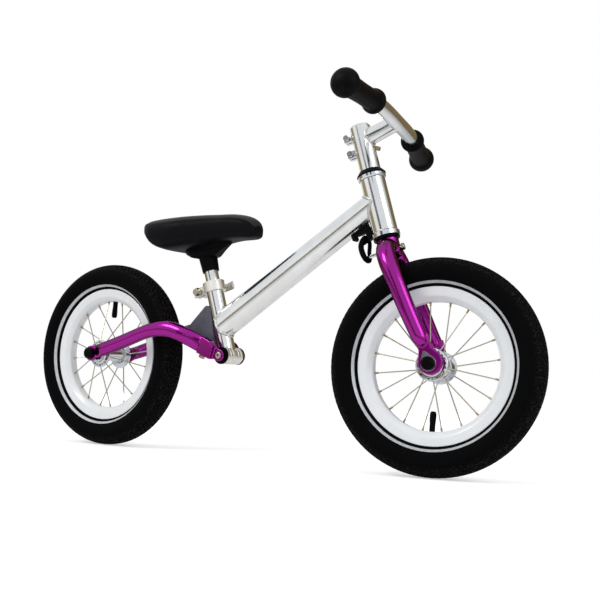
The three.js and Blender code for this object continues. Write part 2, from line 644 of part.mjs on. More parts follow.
/** Split clamp ring with two ears; x runs forward and z along the seat tube. */
function clampRing() {
  const band = ring(SEAT_TUBE_RADIUS + GAP, 17.3, -8, 8, 24);
  const ears = block(vec(-24.5, 0, 0), [25, 14, 13]);
  const bore = rod(vec(0, 0, -20), vec(0, 0, 20), SEAT_TUBE_RADIUS + GAP, 24);
  const slot = block(vec(-30, 0, 0), [40, 3, 30]);
  const hole = rod(vec(CLAMP_BOLT_X, -20, 0), vec(CLAMP_BOLT_X, 20, 0), 3 + GAP, 10);
  return piece('seat_clamp', cut(join(band, ears), bore, slot, hole), POLISHED_ALUMINIUM);
}

/** Cross bolt of the clamp: a domed head outside the right ear, the lever's cam on the left. */
function clampBolt() {
  const pin = rod(vec(CLAMP_BOLT_X, -12, 0), vec(CLAMP_BOLT_X, 7.6, 0), 3, 10);
  const domed = turned([[0, 7.3], [7, 7.3], [7, 11], [5, 16], [0, 16]], 12,
    vec(CLAMP_BOLT_X, 0, 0), vec(0, -1, 0));
  return piece('seat_clamp_bolt', join(pin, domed), STAINLESS);
}

/** Quick-release lever: a cam barrel by the left ear and a curved tongue folded forward. */
function clampLever() {
  const barrel = rod(vec(CLAMP_BOLT_X, 14.2, -6.5), vec(CLAMP_BOLT_X, 14.2, 6.5), 6.2, 14);
  const curve = curveThrough(
    vec(CLAMP_BOLT_X, 17.5, 0), vec(-14, 22.5, 0), vec(0, 25, 0), vec(12, 25.5, 0), vec(20, 23.5, 0),
  );
  const tongue = sweep(curve, (u) => [blend(5, 6.6, u), 1.8], Z, 8, 10);
  return piece('quick_release_lever', join(barrel, tongue), POLISHED_ALUMINIUM);
}

function seatPost() {
  return piece('seat_post', ring(SEAT_POST_RADIUS - 1.6, SEAT_POST_RADIUS, -84, 60), POLISHED_ALUMINIUM);
}

/** Tapered plastic sleeve that covers the post under the saddle. */
function postSleeve() {
  const bore = SEAT_POST_RADIUS + GAP;
  const sleeve = turned([[bore, 26], [13.2, 26], [15.2, 56], [bore, 56]]);
  return piece('seat_post_sleeve', sleeve, BLACK_PLASTIC);
}

/**
 * The saddle as rings from tail to nose. `inset` shrinks it, `drop` lowers it and `deeper`
 * stretches the lower half of every ring downwards.
 */
function saddleForm(inset, drop, deeper) {
  // x, half-width, top and lower edge
  const stations = [
    [-217.5, 12, 358, 349], [-211, 34, 366, 342], [-199, 49, 370, 332], [-182, 58, 372.5, 318.5],
    [-158, 60, 374.5, 313.5], [-130, 56, 376, 317.5], [-102, 45, 377, 325], [-72, 34, 377, 333.5],
    [-44, 27.5, 376.5, 338], [-22, 23.5, 372.5, 339], [-11, 18, 366, 340.5], [-4.5, 11, 359, 344.5],
  ];
  const bend = (value, power) => Math.sign(value) * Math.abs(value) ** power;
  const nudge = inset * 0.8;
  return loft(stations.map(([x, halfWidth, top, low]) => {
    const middle = (top + low) / 2;
    const tall = (top - low) / 2;
    return Array.from({ length: 14 }, (_, k) => {
      const angle = (k / 14) * 2 * Math.PI;
      const below = Math.sin(angle) < -0.01;
      const power = below ? 0.55 : 0.78;
      const height = tall - inset + (below ? deeper : 0);
      return vec(
        x + Math.sign(-110 - x) * nudge,
        Math.max(halfWidth - inset, 2) * bend(Math.cos(angle), power),
        middle - drop + Math.max(height, 2) * bend(Math.sin(angle), power),
      );
    });
  }));
}

/** Padded saddle over a thin shell: hollow from below. */
function saddle() {
  return piece('saddle', cut(saddleForm(0, 0, 0), saddleForm(6, 9, 30)), SADDLE_COVER);
}

/** Plastic pan under the padding, with the swelling that grips the top of the post. */
function saddleBase() {
  // x, half-width and lower edge
  const stations = [
    [-150, 8, 323], [-142, 14, 315], [-128, 18.5, 309.5], [-112, 19.5, 307.5], [-97, 19, 308.5],
    [-84, 14.5, 313], [-72, 9.5, 322.5], [-60, 6, 331],
  ];
  const swelling = loft(stations.map(([x, halfWidth, low]) => [
    [-1, 358], [-1, low + 8], [-0.6, low], [0.6, low], [1, low + 8], [1, 358],
  ].map(([side, height]) => vec(x, side * halfWidth, height))));
  const pan = cut(saddleForm(6.4, 9.4, -10), saddleForm(10, 13, 30));
  const sleeveSpace = rod(onSeatTube(10), onSeatTube(56 + GAP), 15.2 + GAP, 20);
  const postSpace = rod(onSeatTube(10), onSeatTube(60 + GAP), SEAT_POST_RADIUS + GAP, 20);
  return piece('saddle_base', cut(join(pan, swelling), sleeveSpace, postSpace), BLACK_PLASTIC);
}

// ---------------------------------------------------------------- rear arm

const ARM_PLATE_DIRECTION = vec(0.895, 0, -0.446);      // down towards the pivot
const ARM_PLATE_NORMAL = vec(0.446, 0, 0.895);
const ELASTOMER_REAR = vec(-130, 0, 196);

/** One leg of the arm: a bent round tube, flattened at the axle and where it meets its lug. */
function armLeg(side) {
  const axle = (ARM_DROPOUT.inner + ARM_DROPOUT.outer) / 2;
  const lug = (LUG_INNER + LUG_BLOCK_OUTER) / 2;
  const path = [
    [-309, axle, 151.8], [-287.9, 44.5, 156.8], [-235.7, 45, 172.6], [-194.1, 43, 187.4],
    [-176, 41.8, 192.2], [-158, 40, 194.2], [-140.9, 37.5, 192.8], [-116, 33.5, 184.8], [-84, lug, 170.8],
  ];
  const radii = (u) => {
    const thin = blend(ARM_RADIUS, 2.5, 1 - THREE.MathUtils.smoothstep(u, 0.05, 0.14));
    const tall = blend(ARM_RADIUS, ARM_RADIUS + 2.2, THREE.MathUtils.smoothstep(u, 0.5, 0.72));
    return [blend(thin, 5.6, THREE.MathUtils.smoothstep(u, 0.8, 0.98)), tall];
  };
  return sweep(curveThrough(...path.map(([x, y, z]) => vec(x, side * y, z))), radii, Y, 20, 12);
}

/** Machined lug at the hinge end of a leg: a block that holds the leg, and a thinner round eye. */
function armLug(side) {
  const block = [[-91, 158.5], [-80, 183.6], [-64.5, 176.2], [-57.8, 168.4], [-64.5, 148.9]];
  const outline = new THREE.Shape();
  outline.moveTo(-72, 172);
  outline.absarc(PIVOT.x, PIVOT.z, LUG_RADIUS, Math.PI * 0.4, -Math.PI * 0.6, true);
  outline.lineTo(-72, 154);
  outline.closePath();
  const spread = (shape, outer) => plate(shape, outer - LUG_INNER, side * (LUG_INNER + outer) / 2);
  return join(spread(block, LUG_BLOCK_OUTER), spread(outline, LUG_OUTER));
}

/** Welded rear arm: two legs, the plate under the elastomer, dropouts and hinge lugs. */
function swingarm() {
  const axleAt = vec(-WHEELBASE / 2, 0, WHEEL_RADIUS);
  const dropout = (side) => rod(axleAt.clone().setY(side * ARM_DROPOUT.inner),
    axleAt.clone().setY(side * ARM_DROPOUT.outer), ARM_DROPOUT.radius, 20);
  const through = (at, radius) => rod(at.clone().setY(-70), at.clone().setY(70), radius, 14);
  const top = ELASTOMER_REAR.clone().addScaledVector(ARM_PLATE_NORMAL, -GAP);
  const corners = [[3, 0], [54, 0], [54, -5], [3, -5]].map(([run, rise]) => top.clone()
    .addScaledVector(ARM_PLATE_DIRECTION, run).addScaledVector(ARM_PLATE_NORMAL, rise));
  const bridge = plate(corners.map(({ x, z }) => [x, z]), 60);
  const boltHole = rod(elastomerBoltAt(20), elastomerBoltAt(-20), 3 + GAP, 10);
  const welded = join(
    armLeg(1), armLeg(-1), dropout(1), dropout(-1), armLug(1), armLug(-1), bridge,
  );
  const made = cut(welded, through(axleAt, AXLE_RADIUS + GAP), through(PIVOT, AXLE_RADIUS + GAP), boltHole);
  return piece('swingarm', made, PURPLE);
}

/** A point on the elastomer's bolt, `rise` above the plate. */
const elastomerBoltAt = (rise) => ELASTOMER_REAR.clone()
  .addScaledVector(ARM_PLATE_DIRECTION, 40.2).addScaledVector(ARM_PLATE_NORMAL, rise);

/** Rubber wedge between the arm's plate and the back of the seat tube. */
function elastomer() {
  const foot = ELASTOMER_REAR.clone().addScaledVector(ARM_PLATE_DIRECTION, 66);
  const wedge = plate(
    [[ELASTOMER_REAR.x, ELASTOMER_REAR.z], [foot.x, foot.z], [-82, 228], [-90, 233], [-94, 232]], 26);
  const hole = rod(elastomerBoltAt(-5), elastomerBoltAt(14), 3 + GAP, 10);
  return piece('suspension_elastomer', cut(wedge, seatTubeSpace(GAP), hole), ELASTOMER_GREY);
}

function elastomerBolt() {
  const shank = rod(elastomerBoltAt(12), elastomerBoltAt(-26), 3, 10);
  const head = rod(elastomerBoltAt(-26), elastomerBoltAt(-30), 5, 12);
  return piece('elastomer_bolt', join(shank, head), BRASS);
}

function elastomerNut() {
  const nut = rod(elastomerBoltAt(-5.6), elastomerBoltAt(-10), 5.8, 6);
  const hole = rod(elastomerBoltAt(0), elastomerBoltAt(-12), 3 + GAP, 10);
  return piece('elastomer_bolt_nut', cut(nut, hole), STAINLESS);
}

/** Hinge bolt: a button head with a socket on the right and a nut on the left. */
function pivotBolt() {
  const face = LUG_OUTER + GAP;
  const shank = rod(PIVOT.clone().setY(-face - 1), PIVOT.clone().setY(face + 4.5), AXLE_RADIUS, 14);
  const head = turned([[0, 0], [5.6, 0], [5.2, 1.6], [4, 2.4], [0, 2.4]], 16,
    PIVOT.clone().setY(-face), vec(0, -1, 0));
  const socket = rod(PIVOT.clone().setY(-face + 1), PIVOT.clone().setY(-face - 4), 2.5, 6);
  return piece('pivot_bolt', cut(join(shank, head), socket), STAINLESS);
}

function pivotNut() {
  const face = LUG_OUTER + GAP;
  const nut = rod(PIVOT.clone().setY(face), PIVOT.clone().setY(face + 4), 6.8, 6);
  const hole = rod(PIVOT.clone().setY(face - 2), PIVOT.clone().setY(face + 8), AXLE_RADIUS + GAP, 14);
  return piece('pivot_nut', cut(nut, hole), STAINLESS);
}

// ---------------------------------------------------------------- assembly

const steered = group(vec(0, 0, 0), ...steeredEnd());
steered.rotation.z = STEER;

const head = group(STEERING_ORIGIN, steered);
head.rotation.y = -LEAN;

const seat = group(
  SEAT_CLAMP, seatTube(), clampRing(), clampBolt(), clampLever(), seatPost(), postSleeve(),
);
seat.rotation.y = -LEAN;

const rearWheel = group(
  vec(-WHEELBASE / 2, 0, WHEEL_RADIUS),
  ...wheel('rear', REAR_VALVE), ...axleSet('rear', ARM_DROPOUT, ARM_DROPOUT.outer + GAP),
);

const frame = group(
  vec(0, 0, 0), mainTube(), headTube(),
  headsetCup('headset_lower_cup', LOWER_CUP_BOTTOM, -1), headsetCup('headset_upper_cup', UPPER_CUP_TOP, 1),
  headsetBearing('headset_lower_bearing', LOWER_CUP_BOTTOM, -1),
  headsetBearing('headset_upper_bearing', UPPER_CUP_TOP, 1),
  pivotShell(), pivotBush('pivot_bush_left', 1), pivotBush('pivot_bush_right', -1),
  limiterHook(), limiterBand(), saddle(), saddleBase(),
);

const arm = group(
  vec(0, 0, 0), swingarm(), elastomer(), elastomerBolt(), elastomerNut(), pivotBolt(), pivotNut(),
);

export default group(BOX_MIDDLE.clone().negate(), head, frame, seat, arm, rearWheel);
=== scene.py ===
# %% [markdown]
# # A balance bike for a small child
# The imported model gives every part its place. Here the parts that a person looks at closely get
# finer surfaces, and every part gets the finish of the real thing.
# The first cell loads the model as a fixed frame: its objects are never moved or reshaped.

# %% Load the frame
import json
import math

import bmesh
import bpy
from mathutils import Matrix, Vector, noise


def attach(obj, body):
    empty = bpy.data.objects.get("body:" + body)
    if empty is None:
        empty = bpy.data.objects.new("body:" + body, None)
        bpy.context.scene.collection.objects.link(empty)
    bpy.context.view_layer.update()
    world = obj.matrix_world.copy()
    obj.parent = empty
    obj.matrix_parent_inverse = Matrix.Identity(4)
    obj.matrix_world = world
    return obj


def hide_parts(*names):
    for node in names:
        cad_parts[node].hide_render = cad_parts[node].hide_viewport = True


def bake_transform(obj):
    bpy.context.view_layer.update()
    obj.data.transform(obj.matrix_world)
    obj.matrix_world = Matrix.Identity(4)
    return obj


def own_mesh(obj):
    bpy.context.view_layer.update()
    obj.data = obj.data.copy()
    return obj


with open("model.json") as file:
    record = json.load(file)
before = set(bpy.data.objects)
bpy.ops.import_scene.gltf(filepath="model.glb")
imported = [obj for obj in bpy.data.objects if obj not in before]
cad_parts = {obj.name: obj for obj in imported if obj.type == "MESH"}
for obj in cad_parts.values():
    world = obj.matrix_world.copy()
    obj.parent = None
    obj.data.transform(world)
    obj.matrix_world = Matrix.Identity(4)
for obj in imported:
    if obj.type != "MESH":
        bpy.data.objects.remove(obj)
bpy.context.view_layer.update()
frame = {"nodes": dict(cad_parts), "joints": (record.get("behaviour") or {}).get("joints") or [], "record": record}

NODES = frame["nodes"]

# %% [markdown]
# ## Places on the bike
# The joints say where the moving parts turn, so the frames for the front end, the two wheels, the
# seat clamp and the bike as a whole are all worked out from them. Inside each frame the sizes are
# in millimetres, as on a workshop drawing, and they are turned to metres when a piece is made.

# %% Frames of the parts
MM = 0.001
JOINTS = {joint["name"]: joint for joint in frame["joints"]}
steering_axis = Vector(JOINTS["steering"]["axis"])
LEAN = math.atan2(-steering_axis.x, steering_axis.z)
TILT = Matrix.Rotation(-LEAN, 4, "Y")


def shift(x, y, z):
    return Matrix.Translation(Vector((x, y, z)) * MM)


def joint_place(name):
    return Matrix.Translation(Vector(JOINTS[name]["pos_m"]))


HEAD = joint_place("steering") @ TILT
axle = TILT.inverted().to_3x3() @ Vector(JOINTS["front_wheel_spin"]["axis"])
TURNED = Matrix.Rotation(math.atan2(-axle.x, axle.y), 4, "Z")
STEERED = HEAD @ TURNED
FRONT_WHEEL = joint_place("front_wheel_spin") @ TILT @ TURNED @ TILT.inverted()
REAR_WHEEL = joint_place("rear_wheel_spin")
WHEELS = (("front", FRONT_WHEEL), ("rear", REAR_WHEEL))
SEAT = joint_place("quick_release") @ TILT @ shift(27, -14.2, 0)
REAR_AXLE = (-308.15, 151.5)     # (x, z) in the bike's own frame
PIVOT = (-50.6, 155.6)           # the hinge of the rear arm, likewise
BIKE = REAR_WHEEL @ shift(-REAR_AXLE[0], 0, -REAR_AXLE[1])
print("lean", round(math.degrees(LEAN), 2), "front wheel", FRONT_WHEEL.translation)

# %% [markdown]
# ## Camera
# The camera stands low at the front right, at the height of the axles, with a long lens, so the
# near wheel looks a little larger than the far one and the bike keeps its proportions.

# %% Camera
CAMERA_PLACE = (1.0029, -1.3208, 0.1372)
CAMERA_ANGLES = (-35.12, 3.76, 2.49)     # yaw, pitch and roll in degrees


def linked(name, data):
    """An object with this data, linked to the scene."""
    made = bpy.data.objects.new(name, data)
    bpy.context.scene.collection.objects.link(made)
    return made


yaw, pitch, roll = (math.radians(angle) for angle in CAMERA_ANGLES)
ahead = Vector((math.sin(yaw) * math.cos(pitch), math.cos(yaw) * math.cos(pitch), math.sin(pitch)))
level = ahead.cross(Vector((0, 0, 1))).normalized()
upright = level.cross(ahead)
right = math.cos(roll) * level + math.sin(roll) * upright
top = math.cos(roll) * upright - math.sin(roll) * level
lens = bpy.data.cameras.new("camera")
lens.lens = 64.6
lens.sensor_width = 36
camera = linked("camera", lens)
turn = Matrix((right, top, -ahead)).transposed().to_4x4()
camera.matrix_world = Matrix.Translation(CAMERA_PLACE) @ turn
bpy.context.scene.camera = camera
bpy.context.scene.view_settings.view_transform = "Standard"
print("camera", camera.location)

# %% [markdown]
# ## Nodes
# A material or a world is a small tree of nodes. One function adds a node, sets its options, and
# fills or links its sockets, so each finish below reads as a short list of what it is made of. A
# colour ramp is a node too: its stops are given with it.
# Colours are written as sRGB hex, the way a paint chart gives them, and turned to linear once.

# %% Node and colour tools
def colour(hex_code):
    parts = [int(hex_code[i:i + 2], 16) / 255 for i in (1, 3, 5)]
    linear = [c / 12.92 if c <= 0.04045 else ((c + 0.055) / 1.055) ** 2.4 for c in parts]
    return (*linear, 1.0)


def add(tree, kind, inputs=None, stops=(), **settings):
    """A node of this kind.

    inputs fills sockets with values or links them to other sockets, settings sets the node's own
    options, and stops gives a colour ramp its (place, colour) pairs.
    """
    made = tree.nodes.new(kind)
    for key, value in settings.items():
        setattr(made, key, value)
    for key, value in (inputs or {}).items():
        if isinstance(value, bpy.types.NodeSocket):
            tree.links.new(value, made.inputs[key])
        else:
            made.inputs[key].default_value = value
    for i, (place, tone) in enumerate(stops):
        elements = made.color_ramp.elements
        element = elements[i] if i < len(elements) else elements.new(place)
        element.position = place
        element.color = colour(tone)
    return made


print("mid grey", [round(c, 3) for c in colour("#808080")])

# %% [markdown]
# ## Studio
# A pale floor runs to a white surround. The world lights the bike softly from all sides, and two
# lamps give the tubes their long highlights. Polished metal shows what stands round it, so the
# surround that it mirrors has a dark skirting where floor and wall meet, a brown wall at the far
# side, a doorway on the left and a dark figure in front. Without them bright tubes would lose
# their edges.

# %% World
world = bpy.data.worlds.new("studio")
world.use_nodes = True
bpy.context.scene.world = world
tree = world.node_tree
tree.nodes.clear()
rays = add(tree, "ShaderNodeLightPath")
direction = add(tree, "ShaderNodeTexCoord").outputs["Generated"]


def along(axis):
    """0 in the direction opposite to axis, 1 in its own."""
    dot = add(tree, "ShaderNodeVectorMath", {0: direction, 1: axis}, operation="DOT_PRODUCT")
    share = add(tree, "ShaderNodeMapRange", {"Value": dot.outputs["Value"], "From Min": -1.0})
    return share.outputs["Result"]


def mixed(factor, low, high, first, second):
    """first below low, second above high."""
    share = add(
        tree, "ShaderNodeMapRange", {"Value": factor, "From Min": low, "From Max": high},
        interpolation_type="SMOOTHSTEP",
    )
    return add(
        tree, "ShaderNodeMixRGB", {"Fac": share.outputs["Result"], "Color1": first, "Color2": second},
    ).outputs[0]


# From straight down to straight up: floor, its grey far end, a dark skirting, then white walls.
ROOM_TONES = [
    (0.0, "#E8ECEE"), (0.43, "#AAB5B8"), (0.452, "#8E9A9C"), (0.466, "#6E5F42"), (0.50, "#55472E"),
    (0.515, "#F6F0E2"), (0.54, "#FFFFFF"), (0.7, "#EEF3F9"), (1.0, "#F4F6F8"),
]
room = add(tree, "ShaderNodeValToRGB", {"Fac": along((0, 0, 1))}, ROOM_TONES).outputs["Color"]
far_side = mixed(along((0.25, 0.94, 0.2)), 0.8, 0.94, room, colour("#7C6C4E"))
doorway = mixed(along((-0.95, -0.3, -0.08)), 0.95, 0.985, far_side, colour("#9A9072"))
surround = mixed(along((-0.166, -0.965, 0.198)), 0.988, 0.996, doorway, colour("#5C5761"))
plain = add(
    tree, "ShaderNodeMath",
    {0: rays.outputs["Is Camera Ray"], 1: rays.outputs["Is Transmission Ray"]}, operation="MAXIMUM",
)
shown = add(
    tree, "ShaderNodeMixRGB", {"Fac": plain.outputs[0], "Color1": surround, "Color2": (1, 1, 1, 1)},
)
seen = add(
    tree, "ShaderNodeMath", {0: plain.outputs[0], 1: rays.outputs["Is Glossy Ray"]},
    operation="MAXIMUM",
)
ambient = add(tree, "ShaderNodeBackground", {"Color": colour("#F6F8FF"), "Strength": 0.62})
backdrop = add(tree, "ShaderNodeBackground", {"Color": shown.outputs[0], "Strength": 1.0})
either = add(
    tree, "ShaderNodeMixShader", {0: seen.outputs[0], 1: ambient.outputs[0], 2: backdrop.outputs[0]},
)
add(tree, "ShaderNodeOutputWorld", {"Surface": either.outputs[0]})
print("world with", len(tree.nodes), "nodes")

# %% [markdown]
# The floor is a sheet of pale paper. The camera sees it white, with the bike's shadow on it, and it
# fades to pure white before its edge. Polished metal sees it darker, so that tubes keep a grey
# underside. Of the two lamps one stands on the bike's right side and one before its front wheel.

# %% Floor and lamps
paper = bpy.data.materials.new("white_studio_paper")
paper.use_nodes = True
tree = paper.node_tree
tree.nodes.clear()
rays = add(tree, "ShaderNodeLightPath")
away = add(
    tree, "ShaderNodeVectorMath", {0: add(tree, "ShaderNodeNewGeometry").outputs["Position"]},
    operation="LENGTH",
)
near = add(
    tree, "ShaderNodeMapRange",
    {"Value": away.outputs["Value"], "From Min": 0.6, "From Max": 1.5, "To Min": 1.0, "To Max": 0.0},
)
nearness = {"Fac": near.outputs["Result"]}
shade = add(tree, "ShaderNodeValToRGB", nearness, [(0.0, "#A9B0B3"), (1.0, "#F4F4F2")])
plain = add(tree, "ShaderNodeValToRGB", nearness, [(0.0, "#FFFFFF"), (1.0, "#B6B6B6")])
mirrored = add(
    tree, "ShaderNodeMath", {0: rays.outputs["Is Glossy Ray"], 1: 0.19}, operation="MULTIPLY",
)
glow = add(
    tree, "ShaderNodeMixRGB",
    {"Fac": rays.outputs["Is Camera Ray"], "Color1": mirrored.outputs[0], "Color2": plain.outputs[0]},
)
sheet = add(tree, "ShaderNodeBsdfDiffuse", {"Color": shade.outputs[0]})
lift = add(tree, "ShaderNodeEmission", {"Color": glow.outputs[0]})
both = add(tree, "ShaderNodeAddShader", {0: sheet.outputs[0], 1: lift.outputs[0]})
add(tree, "ShaderNodeOutputMaterial", {"Surface": both.outputs[0]})

mesh = bpy.data.meshes.new("floor")
REACH = 2.4                  # metres from the middle of the floor to each side
floor_corners = [(x * REACH, y * REACH, 0) for x, y in ((-1, -1), (1, -1), (1, 1), (-1, 1))]
mesh.from_pydata(floor_corners, [], [(0, 1, 2, 3)])
mesh.materials.append(paper)
floor = linked("floor", mesh)
MIDDLE = (0, 0, 0.25)        # the middle of the bike


def softbox(name, place, size, power, tint):
    """A square lamp at place that faces the middle of the bike."""
    light = bpy.data.lights.new(name, "AREA")
    light.size = size
    light.energy = power
    light.color = colour(tint)[:3]
    lamp = linked(name, light)
    lamp.location = place
    lamp.rotation_euler = (Vector(MIDDLE) - lamp.location).to_track_quat("-Z", "Y").to_euler()


softbox("key_softbox", (-0.9, -2.0, 2.0), 0.8, 24, "#FFFDF8")
softbox("front_softbox", (2.3, -0.4, 1.3), 1.2, 12, "#F6FAFF")
print("floor and two softboxes")

# %% [markdown]
# ## Shaping tools
# Most of a bike is turned or swept: a profile spun about an axis, or a section carried along a
# line. Each tool gives plain points and faces in millimetres, and several can be put together.
# First come the turned shapes, whose profile can have its corners rounded.

# %% Turned shapes
def turned(profile, segments=64):
    """A profile of (radius, height) corners spun about Z; it closes on the axis or on itself."""
    open_ended = profile[0][0] < 1e-6 and profile[-1][0] < 1e-6
    rim = profile[1:-1] if open_ended else profile
    points = [
        (r * math.cos(a), r * math.sin(a), h)
        for a in (2 * math.pi * k / segments for k in range(segments)) for r, h in rim
    ]
    rows, faces = len(rim), []
    for k in range(segments):
        here, there = k * rows, (k + 1) % segments * rows
        for i in range(rows - 1 if open_ended else rows):
            j = (i + 1) % rows
            faces.append((here + i, there + i, there + j, here + j))
    if open_ended:
        faces.append([k * rows for k in range(segments)])
        faces.append([k * rows + rows - 1 for k in range(segments)])
    return points, faces


def rounded(corners, radius, steps=3, closed=True):
    """The outline with a small curve in place of each corner."""
    made = []
    for i, corner in enumerate(corners):
        if not closed and i in (0, len(corners) - 1):
            made.append(tuple(corner))
            continue
        here = Vector(corner)
        before = Vector(corners[i - 1]) - here
        after = Vector(corners[(i + 1) % len(corners)]) - here
        start = here + before.normalized() * min(radius, before.length * 0.45)
        end = here + after.normalized() * min(radius, after.length * 0.45)
        for k in range(steps + 1):
            t = k / steps
            made.append(tuple(start * (1 - t) ** 2 + here * 2 * t * (1 - t) + end * t * t))
    return made


print("a washer has", len(turned([(1, 0), (2, 0), (2, 1), (1, 1)])[0]), "points")

# %% [markdown]
# A swept shape needs a line with evenly spaced points. The line here is a Catmull-Rom curve: it
# passes through every given point, which makes it easy to lay through measured places. A section
# is then carried along it, and the sections are skinned over.

# %% Lines and swept shapes
FINE = 24                    # steps between two given points, before the line is cut evenly


def smooth_line(points, count):
    """Evenly spaced points on a smooth curve that passes through the given points."""
    given = [Vector(p) for p in points]
    given = [2 * given[0] - given[1], *given, 2 * given[-1] - given[-2]]
    fine = []
    for a, b, c, d in zip(given, given[1:], given[2:], given[3:]):
        t1 = (b - a).length ** 0.5
        t2 = t1 + (c - b).length ** 0.5
        t3 = t2 + (d - c).length ** 0.5
        for k in range(FINE):
            t = t1 + (t2 - t1) * k / FINE
            first = a.lerp(b, t / t1)
            second = b.lerp(c, (t - t1) / (t2 - t1))
            third = c.lerp(d, (t - t2) / (t3 - t2))
            early = first.lerp(second, t / t2)
            late = second.lerp(third, (t - t1) / (t3 - t1))
            fine.append(early.lerp(late, (t - t1) / (t2 - t1)))
    fine.append(given[-2])
    return evenly(fine, count)


def evenly(line, count):
    """The same line cut into count equal steps."""
    reach = [0.0]
    for a, b in zip(line, line[1:]):
        reach.append(reach[-1] + (b - a).length)
    made, i = [], 0
    for k in range(count + 1):
        goal = reach[-1] * k / count
        while i < len(line) - 2 and reach[i + 1] < goal:
            i += 1
        made.append(line[i].lerp(line[i + 1], (goal - reach[i]) / max(reach[i + 1] - reach[i], 1e-9)))
    return made


def skin(sections, ring=False):
    """Faces over a row of closed sections; a ring joins the last one to the first."""
    count = len(sections[0])
    points = [tuple(p) for section in sections for p in section]
    faces, rows = [], len(sections)
    for row in range(rows if ring else rows - 1):
        here, there = row * count, (row + 1) % rows * count
        for i in range(count):
            j = (i + 1) % count
            faces.append((here + i, here + j, there + j, there + i))
    if not ring:
        faces.append(list(range(count)))
        faces.append([(rows - 1) * count + i for i in range(count)])
    return points, faces


def sweep(line, radii, side, sides=32, ring=False):
    """A tube along a line. radii(u) gives its half-width towards side, and across it."""
    sections, last = [], len(line) - 1
    for i, centre in enumerate(line):
        before = line[i - 1] if i or ring else line[0]
        after = line[(i + 1) % len(line)] if i < last or ring else line[last]
        course = (after - before).normalized()
        across = course.cross(Vector(side)).normalized()
        along = across.cross(course)
        wide, high = radii(i / max(last, 1))
        sections.append([
            centre + along * wide * math.cos(a) + across * high * math.sin(a)
            for a in (2 * math.pi * k / sides for k in range(sides))
        ])
    return skin(sections, ring)


def moved(shape, matrix):
    """A shape in another place; the matrix is in millimetres."""
    return [tuple(matrix @ Vector(p)) for p in shape[0]], shape[1]


def together(*shapes):
    points, faces = [], []
    for more_points, more_faces in shapes:
        start = len(points)
        points += more_points
        faces += [[start + i for i in face] for face in more_faces]
    return points, faces


print("a line through three corners has", len(smooth_line([(0, 0, 0), (1, 1, 0), (2, 0, 0)], 8)), "points")

# %% [markdown]
# `piece` makes the object from a shape: it places it, smooths all but its sharp edges, gives it a
# finish, hangs it on the body it moves with, and hides the nodes of the model that it stands for.

# %% Pieces
def smooth_but_sharp(mesh, angle):
    """Faces outwards and smooth, but with a hard edge wherever they meet at more than the angle."""
    work = bmesh.new()
    work.from_mesh(mesh)
    bmesh.ops.recalc_face_normals(work, faces=work.faces)
    work.to_mesh(mesh)
    work.free()
    mesh.polygons.foreach_set("use_smooth", [True] * len(mesh.polygons))
    mesh.set_sharp_from_angle(angle=math.radians(angle))


def in_metres(name, shape, sharp=35):
    """An object that shows a shape in millimetres at its real size."""
    mesh = bpy.data.meshes.new(name)
    mesh.from_pydata([Vector(p) * MM for p in shape[0]], [], shape[1])
    smooth_but_sharp(mesh, sharp)
    return linked(name, mesh)


def piece(name, shape, place, finish, body, stands_for=(), sharp=35):
    """A finished piece that rides on a body and stands for these nodes of the model."""
    obj = in_metres(name, shape, sharp)
    obj.data.materials.append(finish)
    obj.matrix_world = place
    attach(obj, body)
    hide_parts(*stands_for)
    return obj


print("shaping tools ready")

# %% [markdown]
# ## Finishes
# Each finish starts from the real material and how its surface was made. All of them use the
# Principled shader; what makes them differ is the small variation in colour, roughness and relief
# that each surface really has, at its real size. Positions are taken in metres on each piece, so
# a noise scale of 1000 gives features of about a millimetre.

# %% Finish tools
def finish(name, slot, base, metallic, roughness, **sockets):
    """A Principled material, its node tree and its shader."""
    made = bpy.data.materials.new(name)
    made.use_nodes = True
    made["slot"] = slot
    made.diffuse_color = colour(base)
    shader = made.node_tree.nodes["Principled BSDF"]
    shader.inputs["Base Color"].default_value = colour(base)
    shader.inputs["Metallic"].default_value = metallic
    shader.inputs["Roughness"].default_value = roughness
    for key, value in sockets.items():
        shader.inputs[key.replace("_", " ")].default_value = value
    return made, made.node_tree, shader


def surface(tree):
    return add(tree, "ShaderNodeTexCoord").outputs["Object"]


def vary(tree, shader, pattern, socket, low, high):
    """The pattern, 0 to 1, spreads a socket between low and high."""
    span = add(tree, "ShaderNodeMapRange", {"Value": pattern, "To Min": low, "To Max": high})
    tree.links.new(span.outputs["Result"], shader.inputs[socket])


def tint(tree, shader, pattern, *stops):
    """The pattern, 0 to 1, takes the base colour through the (place, colour) stops."""
    tones = add(tree, "ShaderNodeValToRGB", {"Fac": pattern}, stops)
    tree.links.new(tones.outputs["Color"], shader.inputs["Base Color"])


def emboss(tree, shader, height, depth_mm, strength=1.0):
    """The height, 0 to 1, stands up to depth_mm proud of the surface."""
    bump = add(tree, "ShaderNodeBump", {"Height": height, "Distance": depth_mm * MM, "Strength": strength})
    tree.links.new(bump.outputs["Normal"], shader.inputs["Normal"])


def grain(tree, size_mm, detail=2.0, stretch=(1, 1, 1)):
    """Noise with features of this size; stretch draws it out along an axis."""
    spots = add(tree, "ShaderNodeMapping", {"Vector": surface(tree), "Scale": stretch})
    cloud = add(
        tree, "ShaderNodeTexNoise",
        {"Vector": spots.outputs["Vector"], "Scale": 1 / (size_mm * MM), "Detail": detail},
    )
    return cloud.outputs["Fac"]


print("finish tools ready")

# %% [markdown]
# ## Metals
# The frame is aluminium tube, polished and clear coated: bright and nearly white, with faint
# polishing lines and a thin hard gloss over them. The headset, hubs and small bolts are plated
# with chrome, a little darker and sharper. Spokes are drawn stainless wire, and their nipples, the
# locking screw and the wedge's bolt have the warm yellow of passivated zinc.

